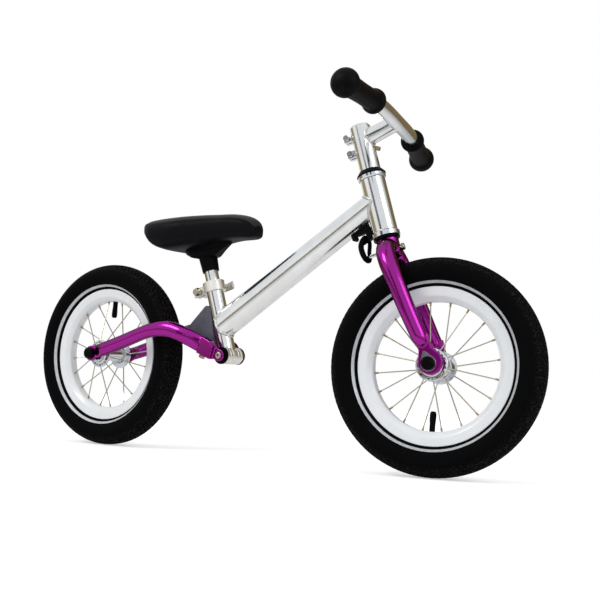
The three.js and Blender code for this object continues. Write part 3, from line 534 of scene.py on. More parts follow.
# %% Metals
# Polished aluminium tube under clear lacquer: soft polish below, a sharp glint above.
ALUMINIUM, tree, shader = finish(
    "polished_aluminium", "polished_aluminium", "#E3E3E0", 1.0, 0.2,
    Coat_Weight=0.6, Coat_Roughness=0.05,
)
vary(tree, shader, grain(tree, 2.0, 4.0, (1, 1, 0.12)), "Roughness", 0.1, 0.2)
tint(tree, shader, grain(tree, 30.0), (0.3, "#DCDCD9"), (0.7, "#E9E9E7"))

# Weld metal: the same aluminium, as cast by the torch, so rougher and slightly greyer.
WELD, tree, shader = finish("weld_metal", "polished_aluminium", "#CFCFCB", 1.0, 0.34)
vary(tree, shader, grain(tree, 1.2, 3.0), "Roughness", 0.26, 0.46)
emboss(tree, shader, grain(tree, 1.5, 2.0), 0.15, 0.5)

# Turned aluminium, blasted with glass beads: an even, creamy, silky grey.
SATIN, tree, shader = finish("bead_blasted_aluminium", "polished_aluminium", "#EAE7DF", 1.0, 0.42)
vary(tree, shader, grain(tree, 0.8, 3.0), "Roughness", 0.36, 0.5)
emboss(tree, shader, grain(tree, 0.5, 2.0), 0.03, 0.4)

# Chrome plate: mirror bright, with faint wiping marks.
CHROME, tree, shader = finish("chrome_plate", "chrome", "#D3D5D8", 1.0, 0.08)
vary(tree, shader, grain(tree, 6.0, 4.0), "Roughness", 0.05, 0.16)

# Drawn stainless wire and turned steel: fine lines along the draw, a warm grey.
STAINLESS, tree, shader = finish("drawn_stainless_steel", "stainless_steel", "#B3AE9E", 1.0, 0.22)
vary(tree, shader, grain(tree, 1.0, 3.0), "Roughness", 0.2, 0.36)

# Yellow-passivated zinc on steel: straw yellow with a drift towards olive.
BRASS, tree, shader = finish("yellow_zinc_plate", "brass", "#A89570", 1.0, 0.3)
tint(tree, shader, grain(tree, 3.0), (0.35, "#9A8660"), (0.65, "#B6A482"))
vary(tree, shader, grain(tree, 1.0), "Roughness", 0.24, 0.4)
print("metals", ALUMINIUM.name, WELD.name, CHROME.name, STAINLESS.name, BRASS.name)

# %% [markdown]
# ## Paints
# The fork and the rear arm wear a translucent magenta lacquer over bright metal: light goes
# through the colour, comes back off the metal, and a clear coat adds its own sharp highlight.
# The rims are stove-enamelled white.

# %% Paints
# Candy lacquer: metal flake under translucent magenta, then a clear coat.
PURPLE, tree, shader = finish(
    "candy_magenta_lacquer", "purple_paint", "#98128A", 1.0, 0.2,
    Coat_Weight=0.4, Coat_Roughness=0.04, Specular_Tint=colour("#5A1038"),
)
flakes = add(tree, "ShaderNodeTexVoronoi", {"Vector": surface(tree), "Scale": 1 / (0.9 * MM)})
tint(tree, shader, flakes.outputs["Distance"], (0.0, "#AC1798"), (1.0, "#860F7A"))
vary(tree, shader, grain(tree, 8.0), "Roughness", 0.15, 0.24)

# Stove enamel: smooth white gloss with a very slight orange peel.
WHITE, tree, shader = finish(
    "white_stove_enamel", "white_paint", "#F6F8F8", 0.0, 0.3, Coat_Weight=0.4, Coat_Roughness=0.1,
)
tint(tree, shader, grain(tree, 40.0), (0.3, "#F4F7F7"), (0.7, "#FAFBFB"))
emboss(tree, shader, grain(tree, 1.6, 1.0), 0.02, 0.4)
print("paints", PURPLE.name, WHITE.name)

# %% [markdown]
# ## Rubber, plastic and the saddle's cover
# The tyre is matt black with brown flecks on the tread; its sidewall is smoother. The grips are
# soft rubber with fine moulded lines. The black plastic parts have the fine grain of a spark
# eroded mould. The saddle wears a synthetic leather whose pebbles catch the light.

# %% Rubber and tape
# Vulcanised tyre rubber: matt and deep black, with brown flecks on the tread.
TYRE, tree, shader = finish("tyre_rubber", "tyre_rubber", "#080809", 0.0, 0.7, Specular_IOR_Level=0.03)
far_out = add(tree, "ShaderNodeVectorMath", {0: surface(tree), 1: (1, 0, 1)}, operation="MULTIPLY")
reach = add(tree, "ShaderNodeVectorMath", {0: far_out.outputs[0]}, operation="LENGTH")
on_tread = add(
    tree, "ShaderNodeMapRange", {"Value": reach.outputs["Value"], "From Min": 0.137, "From Max": 0.145},
)
fleck_spots = add(tree, "ShaderNodeMapRange", {"Value": grain(tree, 2.2, 2.0), "From Min": 0.5, "From Max": 0.66})
tread_flecks = add(
    tree, "ShaderNodeMath", {0: on_tread.outputs[0], 1: fleck_spots.outputs[0]}, operation="MULTIPLY",
)
tint(tree, shader, tread_flecks.outputs[0], (0.0, "#070708"), (1.0, "#292522"))
vary(tree, shader, grain(tree, 3.0, 3.0), "Roughness", 0.55, 0.8)
emboss(tree, shader, grain(tree, 0.8, 3.0), 0.06, 0.5)

# Reflective tape: glass beads in silver lacquer, a soft grey sheen.
STRIPE, tree, shader = finish("reflective_tape", "tyre_rubber", "#C9CBCC", 0.35, 0.42)
vary(tree, shader, grain(tree, 1.0), "Roughness", 0.36, 0.5)
tint(tree, shader, grain(tree, 5.0), (0.3, "#BFC1C3"), (0.7, "#D2D3D4"))

# Moulded grip rubber: matt, with lines round the handle every two millimetres.
GRIP, tree, shader = finish("grip_rubber", "black_rubber", "#0A0A0B", 0.0, 0.45, Specular_IOR_Level=0.05)
LINE_GAP = 2.0               # millimetres from line to line on the grip
lines = add(
    tree, "ShaderNodeTexWave",
    {"Vector": surface(tree), "Scale": 1 / (LINE_GAP * MM) / 6.283 * 2, "Distortion": 0.0},
    bands_direction="Z",
)
speckle = grain(tree, 0.7, 2.0)
relief = add(tree, "ShaderNodeMath", {0: lines.outputs["Fac"], 1: speckle}, operation="ADD")
emboss(tree, shader, relief.outputs[0], 0.12, 0.5)
tint(tree, shader, grain(tree, 10.0), (0.3, "#08080A"), (0.7, "#120F0E"))

# Plain black rubber, as on the limiter's band and the air tube's valve stem.
RUBBER, tree, shader = finish(
    "soft_black_rubber", "black_rubber", "#070707", 0.0, 0.6, Specular_IOR_Level=0.04,
)
vary(tree, shader, grain(tree, 2.0), "Roughness", 0.55, 0.75)
emboss(tree, shader, grain(tree, 0.6), 0.05, 0.4)

print("rubbers", TYRE.name, STRIPE.name, GRIP.name, RUBBER.name)

# %% [markdown]
# The black plastic parts, the saddle's cover and the wedge are moulded too, each with the texture
# of its own mould. The leather's pebbles are one cell pattern, used for its relief and its shine.

# %% Plastic, leather and the wedge
# Injection-moulded nylon: spark-eroded grain, a low even shine.
PLASTIC, tree, shader = finish("black_nylon", "black_plastic", "#050506", 0.0, 0.36, Specular_IOR_Level=0.05)
vary(tree, shader, grain(tree, 4.0), "Roughness", 0.34, 0.5)
emboss(tree, shader, grain(tree, 0.5, 2.0), 0.04, 0.5)

PEBBLE = 1.3                 # size of the leather's grain in millimetres


def leather(name, base, dark, light, gloss, smoothest, roughest):
    """Synthetic leather: pebbles pressed in relief, a slow drift in tone, a semi-matt top coat."""
    made, tree, shader = finish(
        name, "saddle_cover", base, 0.0, smoothest, Specular_IOR_Level=gloss,
    )
    pebbles = add(tree, "ShaderNodeTexVoronoi", {"Vector": surface(tree), "Scale": 1 / (PEBBLE * MM)})
    emboss(tree, shader, pebbles.outputs["Distance"], 0.12, 0.5)
    tint(tree, shader, grain(tree, 25.0, 3.0), (0.3, dark), (0.7, light))
    vary(tree, shader, pebbles.outputs["Distance"], "Roughness", smoothest, roughest)
    return made


# The sides of the saddle: a blue black that catches little light.
COVER = leather("saddle_synthetic_leather", "#0C0C10", "#09090D", "#0F0F14", 0.07, 0.38, 0.56)
# The top panel: the same leather with more shine, and a browner, lighter black that is painted sheen.
COVER_TOP_PAINTED_SHEEN = leather("saddle_leather_top_panel_painted_sheen", "#1F1D1B", "#1B1917", "#25231F", 0.3, 0.42, 0.6)

# Cast polyurethane rubber: slate grey, slightly mottled, with mould texture.
ELASTOMER, tree, shader = finish(
    "cast_elastomer", "grey_elastomer", "#585862", 0.0, 0.55, Specular_IOR_Level=0.3,
)
tint(tree, shader, grain(tree, 9.0, 3.0), (0.3, "#51515C"), (0.7, "#62616B"))
emboss(tree, shader, grain(tree, 0.9, 2.0), 0.06, 0.5)
print("moulded finishes", PLASTIC.name, COVER.name, COVER_TOP_PAINTED_SHEEN.name, ELASTOMER.name)

# %% [markdown]
# ## Tyres
# A bicycle tyre is a casing moulded in a ring: a round tread with small blocks in staggered rows,
# smooth sidewalls, and beads that sit inside the rim. The tread is a fine grid whose points are
# lowered where a groove runs, so that the blocks show along the edge of the wheel too. A thin
# band of reflective tape runs round each sidewall.

# %% Tyres
TYRE_HALF = [
    (151.4, 0), (151.2, 4), (150.6, 8), (149.3, 12), (147.1, 16), (144, 19.6), (140, 22.6),
    (135.5, 24.4), (130.5, 24.9), (125.5, 24.2), (120.8, 22.4), (116.6, 19.6), (113.2, 16),
    (110.9, 12.6), (107, 11.5), (102.4, 11.2), (102.4, 8.4), (111, 9), (121, 19.5), (135, 21),
    (145.5, 11), (147.4, 0),
]
ON_AXLE = Matrix.Rotation(-math.pi / 2, 4, "X")
CROWN = 13                   # this many corners from the crown on are outside, above the rim
BLOCKS = 110                 # blocks round the tread, so nearly nine millimetres each
STEPS = 8                    # grid steps along each block
ROW = 4.4                    # millimetres from one row of blocks to the next
GAP = 0.9                    # width of the groove between two rows
TREAD = 1.5                  # depth of the grooves


def tread_depth(radius, offset, step):
    """How far the rubber lies below the blocks at this place, in millimetres."""
    if radius < 136:
        return 0.0
    row, across = divmod(abs(offset) + 1.6, ROW)
    along = (step + (STEPS // 2 if row % 2 else 0)) % STEPS
    return TREAD if along < 2 or across < GAP else 0.0


def tyre_shape():
    outside = smooth_line([(r, o, 0) for r, o in TYRE_HALF[:CROWN + 1]], 44)
    half = [(p.x, p.y) for p in outside] + TYRE_HALF[CROWN + 1:]
    mirror = [(r, -o) for r, o in half[1:-1]]
    outline = half + mirror[::-1]
    sections = []
    for k in range(BLOCKS * STEPS):
        angle = 2 * math.pi * k / (BLOCKS * STEPS)
        ring = []
        for r, o in outline:
            outer = r > 146 or abs(o) > 21.5 and r > 136
            low = tread_depth(r, o, k) if outer and r + abs(o) * 0.2 > 140 else 0.0
            ring.append(((r - low) * math.sin(angle), o, (r - low) * math.cos(angle)))
        sections.append(ring)
    return skin(sections, ring=True)


def stripe_shape():
    bands = []
    for side in (1, -1):
        band = [(113.2, 16.3), (114.8, 18.2), (116.6, 19.9), (116.6, 19.2), (113.4, 15.6)]
        ring = turned([(r, side * o) for r, o in band], 128)
        bands.append(moved(ring, ON_AXLE))
    return together(*bands)


for prefix, place in WHEELS:
    body = f"{prefix}_wheel"
    made = piece(f"{prefix}_tyre_casing", tyre_shape(), place, TYRE, body, [f"{prefix}_tyre"], 30)
    piece(f"{prefix}_tyre_reflective_band", stripe_shape(), place, STRIPE, body)
    print(made.name, len(made.data.polygons), "faces")

# %% [markdown]
# ## Rims
# A rolled aluminium rim is a deep channel with a hooked edge for the tyre's bead and a well in the
# middle. It is turned here with rounded corners, since gloss enamel shows every edge as a soft
# line of light. The spokes enter through the well.

# %% Rims
RIM_HALF = [
    (89, 0), (89.2, 7), (96.5, 12.6), (108.6, 13.5), (109.5, 12.8), (108.8, 12), (102, 11.6),
    (92.4, 5), (92, 0),
]


def rim_shape():
    other = [(r, -o) for r, o in RIM_HALF[1:-1]]
    outline = rounded(RIM_HALF + other[::-1], 1.6, 4)
    return moved(turned(outline, 160), ON_AXLE)


for prefix, place in WHEELS:
    body = f"{prefix}_wheel"
    made = piece(f"{prefix}_rim_channel", rim_shape(), place, WHITE, body, [f"{prefix}_rim"], 50)
    print(made.name, len(made.data.polygons), "faces")

# %% [markdown]
# ## Hubs, spokes and nipples
# Ten straight spokes leave each flange of the hub and meet the rim in turn. A spoke has a flat
# head outside the flange, a bend through its hole, and a yellow nipple at the rim. Each wheel's
# twenty spokes are one mesh, their nipples another, and the hub is turned; its spare spoke holes
# are painted shade, thin black discs round the flange.

# %% Hubs and spokes
SPOKES = 20
VALVES = {"front": math.radians(180.3), "rear": math.radians(3.6)}


def on_wheel(radius, angle, offset):
    return Vector((radius * math.sin(angle), offset, radius * math.cos(angle)))


def straight(start, end, radius, end_radius=None, sides=10):
    """A round bar between two points."""
    line = [start, end]
    sizes = (radius, radius if end_radius is None else end_radius)
    side = (0, 1, 0) if abs((end - start).normalized().y) < 0.9 else (1, 0, 0)
    return sweep(line, lambda u: (sizes[round(u)],) * 2, side, sides)


def spoke_set(valve):
    spokes, nipples, sockets = [], [], []
    for i in range(SPOKES):
        angle = valve + (i + 0.5) / SPOKES * 2 * math.pi
        side = 1 if i % 2 == 0 else -1
        head = on_wheel(19.6, angle, side * 26.6)
        bend = on_wheel(20.4, angle, side * 24.2)
        reach = on_wheel(88.6, angle, side * 1.6)
        course = (reach - bend).normalized()
        line = [head, on_wheel(19.7, angle, side * 25), bend, bend + course * 3, reach]
        spokes.append(sweep(line, lambda u: (0.9, 0.9), on_wheel(1, angle + math.pi / 2, 0), 8))
        spokes.append(straight(head, head + Vector((0, side * 0.5, 0)), 1.9, 1.4, 12))
        nipples.append(straight(reach - course * 5, reach, 1.3, 1.6, 12))
        # Each spare hole on this flange gets a thin black disc: painted shade where the hole is.
        between = valve + (i + 1.5) / SPOKES * 2 * math.pi
        hole = on_wheel(18.2, between, side * 25.55)
        sockets.append(straight(hole, hole + Vector((0, side * 0.12, 0)), 2.0, 2.0, 14))
    return together(*spokes), together(*nipples), together(*sockets)


HUB_HALF = [
    (7.5, 31.5), (13.6, 31.5), (14.2, 27), (15.4, 25.8), (22.8, 25.5), (23, 22.5), (15.2, 22.2),
    (12.4, 17), (11.6, 8),
]


def hub_shape():
    half = rounded(HUB_HALF, 0.9, 3, closed=False)
    outline = half + [(r, -o) for r, o in half[::-1]]
    return moved(turned(outline, 72), ON_AXLE)


for prefix, place in WHEELS:
    body = f"{prefix}_wheel"
    hub = piece(f"{prefix}_hub_shell", hub_shape(), place, CHROME, body, [f"{prefix}_spoked_hub"], 40)
    spokes, nipples, sockets = spoke_set(VALVES[prefix])
    piece(f"{prefix}_spokes", spokes, place, STAINLESS, body)
    piece(f"{prefix}_nipples", nipples, place, BRASS, body)
    # Black discs of painted shade in the spare spoke holes.
    piece(f"{prefix}_flange_hole_shade_discs", sockets, place, PLASTIC, body)
    print(hub.name, "with", SPOKES, "spokes")

# %% [markdown]
# ## Parts that keep their own shape
# Small turned and machined parts have the right shape in the model already. Its meshes have flat
# faces with a corner of their own for each triangle, so each such part is shown through a copy
# whose corners are joined and whose gentle edges are smoothed. A narrow bevel on the sharp edges
# gives them the line of light that a machined edge has.

# %% Smoothed copies of the small parts
BODIES = frame["record"]["behaviour"]["bodies"]
EDGE = 0.3                   # width of the bevel in millimetres


def body_of(node):
    return next(name for name, nodes in BODIES.items() if node in nodes)


def machined(node, finish, bevel_mm=EDGE, sharp=32):
    """A node's own mesh, smoothed and bevelled, as a piece that stands for the node."""
    copy = NODES[node].data.copy()
    copy.name = f"{node}_shown"
    work = bmesh.new()
    work.from_mesh(copy)
    bmesh.ops.remove_doubles(work, verts=work.verts, dist=0.02 * MM)
    bmesh.ops.dissolve_limit(
        work, angle_limit=math.radians(1.0), verts=work.verts, edges=work.edges,
    )
    work.to_mesh(copy)
    work.free()
    copy.materials.clear()
    copy.materials.append(finish)
    smooth_but_sharp(copy, sharp)
    obj = linked(f"{node}_shown", copy)
    if bevel_mm:
        edge = obj.modifiers.new("machined edge", "BEVEL")
        edge.width = bevel_mm * MM
        edge.segments = 2
        edge.limit_method = "ANGLE"
        edge.angle_limit = math.radians(sharp + 8)
    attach(obj, body_of(node))
    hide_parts(node)
    return obj


def both_sides(*names):
    return [f"{name}_{side}" for name in names for side in ("left", "right")]


SMALL_PARTS = {
    SATIN: ["seat_clamp", "quick_release_lever"],
    ALUMINIUM: ["seat_post", "seat_tube", "head_tube", "steerer_plug"],
    CHROME: [
        "headset_lower_cup", "headset_upper_cup", "stem_bolt_lower", "stem_bolt_upper", "limiter_post",
        *both_sides("front_tab_washer"),
    ],
    STAINLESS: [
        "seat_clamp_bolt", "pivot_bolt", "pivot_nut", "front_axle", "rear_axle", "headset_lower_bearing",
        "headset_upper_bearing", "elastomer_bolt_nut",
        *both_sides("front_hub_bearing", "rear_hub_bearing"), "limiter_post_nut",
    ],
    BRASS: ["stem_lock_screw", "elastomer_bolt"],
    PLASTIC: [
        "headset_crown_seal", "headset_top_cover", *both_sides("pivot_bush"), "limiter_hook",
        "seat_post_sleeve", "saddle_base", *both_sides("front_axle_cover", "rear_axle_cover"),
    ],
    RUBBER: ["front_inner_tube", "rear_inner_tube"],
}
for finish_used, nodes in SMALL_PARTS.items():
    for node in nodes:
        machined(node, finish_used, 0.0 if node == "seat_tube" else EDGE)
print("smoothed parts", sum(len(nodes) for nodes in SMALL_PARTS.values()))

# %% [markdown]
# The rubber wedge is pressed as the rear arm rises; here it keeps the shape it has in the model.
# The shell of the hinge is turned, with grooves round it. A rounded cap covers each valve stem.

# %% Wedge, hinge shell and valve caps
wedge = machined("suspension_elastomer", ELASTOMER, 0.0)
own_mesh(wedge)

SHELL_HALF = 18.4
groove_places = (-12.6, -6.2, 6.2, 12.6)
outline = [(8.1, -SHELL_HALF), (13, -SHELL_HALF)]
for offset in groove_places:
    outline += [(13, offset - 1.5), (12.3, offset - 0.8), (12.3, offset + 0.8), (13, offset + 1.5)]
outline += [(13, SHELL_HALF), (8.1, SHELL_HALF)]
shell = moved(turned(rounded(outline, 0.5, 2), 72), ON_AXLE)
shell_place = BIKE @ shift(PIVOT[0], 0, PIVOT[1])
made = piece("pivot_shell_shown", shell, shell_place, SATIN, "frame", ["pivot_shell"], 50)
print(made.name, "with", len(groove_places), "grooves")

CAP_PROFILE = [
    (0, 61.5), (2.6, 61.5), (4.3, 63.4), (4.6, 67), (4.5, 73), (4.0, 79), (3.4, 80), (0, 80),
]
for prefix, place in WHEELS:
    cap_place = place @ Matrix.Rotation(VALVES[prefix], 4, "Y")
    node = f"{prefix}_valve_cap"
    cap = piece(f"{node}_shown", turned(CAP_PROFILE, 32), cap_place, PLASTIC, f"{prefix}_wheel", [node], 50)
    print(cap.name)

# %% [markdown]
# ## Fork
# The fork is welded from a steerer tube, a crown, two legs that sweep out and down past the tyre,
# and two flat dropouts. Under thick lacquer the welds show only as soft fillets, so the pieces
# are laid over each other, covered by one skin, smoothed a little and drilled. The rear arm is
# made with the same tools.

# %% Plates and welded skins
def plate(outline, inner, outer):
    """A flat plate: its outline of (x, z) corners, between two distances from the middle plane."""
    return skin([[Vector((x, y, z)) for x, z in outline] for y in (inner, outer)])


def arc(x, z, radius, start, end, steps=24):
    """Points on a round edge; the angles are in half turns."""
    angles = (math.pi * (start + (end - start) * k / steps) for k in range(steps + 1))
    return [(x + radius * math.cos(a), z + radius * math.sin(a)) for a in angles]


def rod(start, end, radius, sides=48):
    return straight(Vector(start), Vector(end), radius, None, sides)


VOXEL = 0.8                  # millimetres between the points of a welded skin
FILLET_ROUNDS = 5            # times that the skin is smoothed


def welded(name, shape, holes, place, finish, body, node):
    """Overlapping shapes drawn into one skin with soft fillets, then drilled."""
    obj = piece(name, shape, place, finish, body, [node])
    mesh = obj.data
    skin_over = obj.modifiers.new("one skin", "REMESH")
    skin_over.mode = "VOXEL"
    skin_over.voxel_size = VOXEL * MM
    soften = obj.modifiers.new("fillets", "SMOOTH")
    soften.factor = 0.5
    soften.iterations = FILLET_ROUNDS
    tool = in_metres(f"{name}_drill", holes)
    tool.matrix_world = place
    cutting = obj.modifiers.new("holes", "BOOLEAN")
    cutting.operation = "DIFFERENCE"
    cutting.solver = "EXACT"
    cutting.object = tool
    bpy.context.view_layer.update()
    made = bpy.data.meshes.new_from_object(obj.evaluated_get(bpy.context.evaluated_depsgraph_get()))
    obj.modifiers.clear()
    obj.data = made
    bpy.data.objects.remove(tool)
    made.materials.clear()
    made.materials.append(finish)
    smooth_but_sharp(made, 50)
    bpy.data.meshes.remove(mesh)
    return obj


print("welded skins with a point every", VOXEL, "mm")

# %% Fork
RAKE = (STEERED.inverted() @ FRONT_WHEEL.translation).x / MM
BOLT_HEIGHT = 177
AXLE_HOLE = 4.3
BOLT_HOLE = 2.9
STEERER_BORE = 11


def fork_leg(side):
    """A leg that bows round the tyre, grows thinner on its way down and closes like a dome."""
    path = [
        (0, 6, 180), (0.2, 22, 175.5), (1.4, 34, 164), (3.4, 40, 149), (6.6, 42.2, 130),
        (13, 42.4, 85), (19.2, 40.4, 46), (23.4, 39.5, 24),
    ]

    def radii(u):
        closing = math.sqrt(max(1 - max((u - 0.9) / 0.102, 0) ** 2, 0.01))
        return (13.9 - 3.0 * u) * closing, (12.4 - 1.6 * u) * closing

    return sweep(smooth_line([(x, side * y, z) for x, y, z in path], 80), radii, (1, 0, 0), 48)


def fork_dropout(side):
    eye = arc(RAKE + 2.6, 1.5, 17, 0.83, 2.17, 48)
    outline = [(RAKE - 9.2, 40), (RAKE - 9.2, 21), *eye, (RAKE + 9.2, 21), (RAKE + 9.2, 40)]
    return plate(outline, side * 37, side * 42)


crown = turned([(0, 166), (14.5, 166), (17, 170.5), (17, 175.5), (16, 180), (16, 193), (0, 193)])
steerer = rod((0, 0, 180), (0, 0, 366), 12.7)
fork_parts = together(
    crown, steerer, *(make(side) for side in (1, -1) for make in (fork_leg, fork_dropout)),
)
holes = together(
    rod((0, 0, 150), (0, 0, 368), STEERER_BORE),
    rod((-40, 0, BOLT_HEIGHT), (40, 0, BOLT_HEIGHT), BOLT_HOLE),
    rod((RAKE, -60, 0), (RAKE, 60, 0), AXLE_HOLE),
)
fork = welded("fork_shown", fork_parts, holes, STEERED, PURPLE, "front_end", "fork")
print(fork.name, len(fork.data.vertices), "points")

# %% [markdown]
# ## Rear arm
# Two bent legs run from the axle to machined lugs at the hinge. A plate joins them under the
# rubber wedge. The legs are pressed flat at the axle, where each ends in a round dropout, and each
# lug is a block with a round eye for the hinge bolt.

# %% Rear arm
WEDGE = (-130, 196)          # the wedge's rear corner on the plate, (x, z)
PLATE_RUN = (0.895, -0.446)  # along the plate, down towards the hinge
PLATE_RISE = (0.446, 0.895)  # square to it


def on_plate(run, rise):
    return tuple(w + run * a + rise * b for w, a, b in zip(WEDGE, PLATE_RUN, PLATE_RISE))


def smoothstep(value, low, high):
    t = min(max((value - low) / (high - low), 0), 1)
    return t * t * (3 - 2 * t)


def arm_leg(side):
    path = [
        (-309, 44.5, 151.8), (-287.9, 44.5, 156.8), (-235.7, 45, 172.6), (-194.1, 43, 187.4),
        (-176, 41.8, 192.2), (-158, 40, 194.2), (-140.9, 37.5, 192.8), (-116, 33.5, 184.8),
        (-84, 28.15, 170.8),
    ]

    def radii(u):
        thin = 2.5 + 8.5 * smoothstep(u, 0.05, 0.14)
        tall = 11 + 2.2 * smoothstep(u, 0.5, 0.72)
        return thin + (5.6 - thin) * smoothstep(u, 0.8, 0.98), tall

    return sweep(smooth_line([(x, side * y, z) for x, y, z in path], 90), radii, (0, 1, 0), 48)


def arm_lug(side):
    block = [(-91, 158.5), (-80, 183.6), (-64.5, 176.2), (-57.8, 168.4), (-64.5, 148.9)]
    eye = [(-72, 172), *arc(*PIVOT, 9.2, 0.4, -0.6), (-72, 154)]
    return together(plate(block, side * 22.3, side * 34), plate(eye, side * 22.3, side * 27.3))


def arm_dropout(side):
    x, z = REAR_AXLE
    return rod((x, side * 42, z), (x, side * 47, z), 12.5)


def through(x, z, radius):
    return rod((x, -70, z), (x, 70, z), radius)


def leaning_rod(run, low, high, radius):
    (x0, z0), (x1, z1) = on_plate(run, low), on_plate(run, high)
    return rod((x0, 0, z0), (x1, 0, z1), radius)


BRIDGE = ((3, -0.3), (54, -0.3), (54, -5.3), (3, -5.3))
bridge = plate([on_plate(*corner) for corner in BRIDGE], -30, 30)
arm_parts = together(
    bridge, *(make(side) for side in (1, -1) for make in (arm_leg, arm_lug, arm_dropout)),
)
holes = together(
    through(*REAR_AXLE, AXLE_HOLE), through(*PIVOT, AXLE_HOLE), leaning_rod(40.2, -20, 20, 3.3),
)
arm = welded("swingarm_shown", arm_parts, holes, BIKE, PURPLE, "rear_arm", "swingarm")
print(arm.name, len(arm.data.vertices), "points")

# %% [markdown]
# ## Main tube
# The main tube is drawn from a tall oval at the seat tube to a circle at the head tube. Its two
# mitred ends are covered by weld beads: a row of overlapping drops, laid by hand, all round the
# joint. A bead follows the mitre, so the line where two tubes meet is found first.

# %% Mitres and weld beads
MAIN_LOW = Vector((-67.9, 0, 201.1))
MAIN_HIGH = Vector((207.3, 0, 383.5))
TUBE_AXIS = Vector((-math.sin(LEAN), 0, math.cos(LEAN)))
HEAD_TUBE_RADIUS = 18.2
SEAT_TUBE_RADIUS = 13.5
STEERING_ORIGIN = BIKE.inverted() @ HEAD.translation / MM
SEAT_CLAMP = BIKE.inverted() @ SEAT.translation / MM
TRIES = 200                  # places looked at along each line of a tube, to find where it ends
BEAD_STEP = 0.75             # millimetres between two rings of a weld bead
RIPPLE = 4                   # rings from one ripple to the next


def main_radii(u):
    return 15.2 + 3 * u, 23 - 4.8 * u


def mitre(start, end, radii, centre, axis, radius, corners=72):
    """Where the surface of the tube from start to end meets the outside of a round tube."""
    course = (end - start).normalized()
    across = course.cross(Vector((0, 1, 0))).normalized()
    loop = []
    for k in range(corners):
        a = 2 * math.pi * k / corners
        p, q = (
            place + Vector((0, wide * math.cos(a), 0)) + across * high * math.sin(a)
            for place, (wide, high) in ((start, radii(0)), (end, radii(1)))
        )
        best = None
        for step in range(TRIES + 1):
            point = p.lerp(q, step / TRIES)
            away = point - centre
            off = abs((away - axis * away.dot(axis)).length - radius)
            if best is None or off < best[0]:
                best = (off, point)
        loop.append(best[1])
    return loop


def bead(loop, size):
    """A weld bead: a closed tube along the loop with a ripple every three millimetres."""
    length = sum((b - a).length for a, b in zip(loop, loop[1:] + loop[:1]))
    count = int(length / BEAD_STEP)
    line = evenly(loop + loop[:1], count)[:-1]
    phase = 2 * math.pi / RIPPLE

    def radii(u):
        k = u * (len(line) - 1)
        swell = 1 + 0.14 * abs(math.sin(k * phase / 2)) + 0.06 * noise.noise(Vector((k * 0.3, 0, 0)))
        return size * swell, size * swell

    return sweep(line, radii, (0.13, 0.99, 0.07), 8, ring=True)


print("ripples every", BEAD_STEP * RIPPLE, "mm")

# %% [markdown]
# The tube itself is one sweep, and each bead is laid round the line where it meets the other tube.

# %% Main tube
tube = sweep([MAIN_LOW.lerp(MAIN_HIGH, t / 4) for t in range(5)], main_radii, (0, 1, 0), 64)
piece("main_tube_shown", tube, BIKE, ALUMINIUM, "frame", ["main_tube"], 50)
front_joint = mitre(
    MAIN_LOW.lerp(MAIN_HIGH, 0.6), MAIN_HIGH, lambda u: main_radii(0.6 + 0.4 * u),
    STEERING_ORIGIN, TUBE_AXIS, HEAD_TUBE_RADIUS,
)
rear_joint = mitre(
    MAIN_LOW, MAIN_LOW.lerp(MAIN_HIGH, 0.3), lambda u: main_radii(0.3 * u),
    SEAT_CLAMP, TUBE_AXIS, SEAT_TUBE_RADIUS,
)
for name, loop in (("head_tube_weld", front_joint), ("seat_tube_weld", rear_joint)):
    made = piece(name, bead(loop, 2.0), BIKE, WELD, "frame", sharp=60)
    print(made.name, len(loop), "corners")

# %% [markdown]
# ## Handlebar and grips
# The bar is one bent aluminium tube: straight where the grips sit, swept forward between them.
# The grips are slipped on: a wide soft flange by the thumb, a waisted handle, and a big round
# knob that covers the end of the bar.

# %% Handlebar
GRIP_START = Vector((51.9, 92, 358.1))
GRIP_END = Vector((40.7, 184.3, 357.3))
BAR_CENTRE = Vector((56, 0, 355))


def across_the_bike(point):
    return Vector((point.x, -point.y, point.z))


def bar_line():
    inward = (GRIP_START - GRIP_END).normalized()
    shoulder = GRIP_START + inward * 28
    middle = Vector((BAR_CENTRE.x, 22, BAR_CENTRE.z))
    outer = GRIP_END - inward * -3.7
    half = [outer]
    for k in range(25):
        t = k / 24
        half.append(
            GRIP_START * (1 - t) ** 3 + shoulder * 3 * t * (1 - t) ** 2
            + middle * 3 * t * t * (1 - t) + BAR_CENTRE * t ** 3
        )
    other = [across_the_bike(p) for p in half[:-1]]
    return evenly(half + other[::-1], 120)


bar = sweep(bar_line(), lambda u: (11, 11), (0, 0, 1), 40)
piece("handlebar_shown", bar, STEERED, ALUMINIUM, "front_end", ["handlebar"], 60)
print("bar length", round(sum((b - a).length for a, b in zip(bar_line(), bar_line()[1:]))), "mm")

# %% Grips
def grip_profile():
    length = (GRIP_END - GRIP_START).length
    knob = [
        (20 * math.cos(a), length - 1 + 17 * math.sin(a))
        for a in (math.radians(d) for d in range(-40, 90, 10))
    ]
    flange = rounded([(11.4, 0), (17.8, 0), (17.8, 6.4), (15.4, 9.5)], 2.2, 4, closed=False)
    waist = [(14.7, 14), (14.3, 22), (14.2, 34), (14.3, 50), (14.7, 64), (15.3, length - 18)]
    return [(0, 1)] + flange + waist + knob + [(0, length + 16)]


for side, name in ((1, "left"), (-1, "right")):
    start = GRIP_START if side > 0 else across_the_bike(GRIP_START)
    end = GRIP_END if side > 0 else across_the_bike(GRIP_END)
    turn = (end - start).to_track_quat("Z", "Y").to_matrix().to_4x4()
    place = STEERED @ shift(*start) @ turn
    grip = turned(grip_profile(), 64)
    made = piece(f"grip_{name}_shown", grip, place, GRIP, "front_end", [f"grip_{name}"], 50)
    print(made.name)

# %% [markdown]
# ## Stem
# The stem is a split sleeve clamped on the steerer by two small bolts at the back, with a short
# extension welded to it and to the bar.

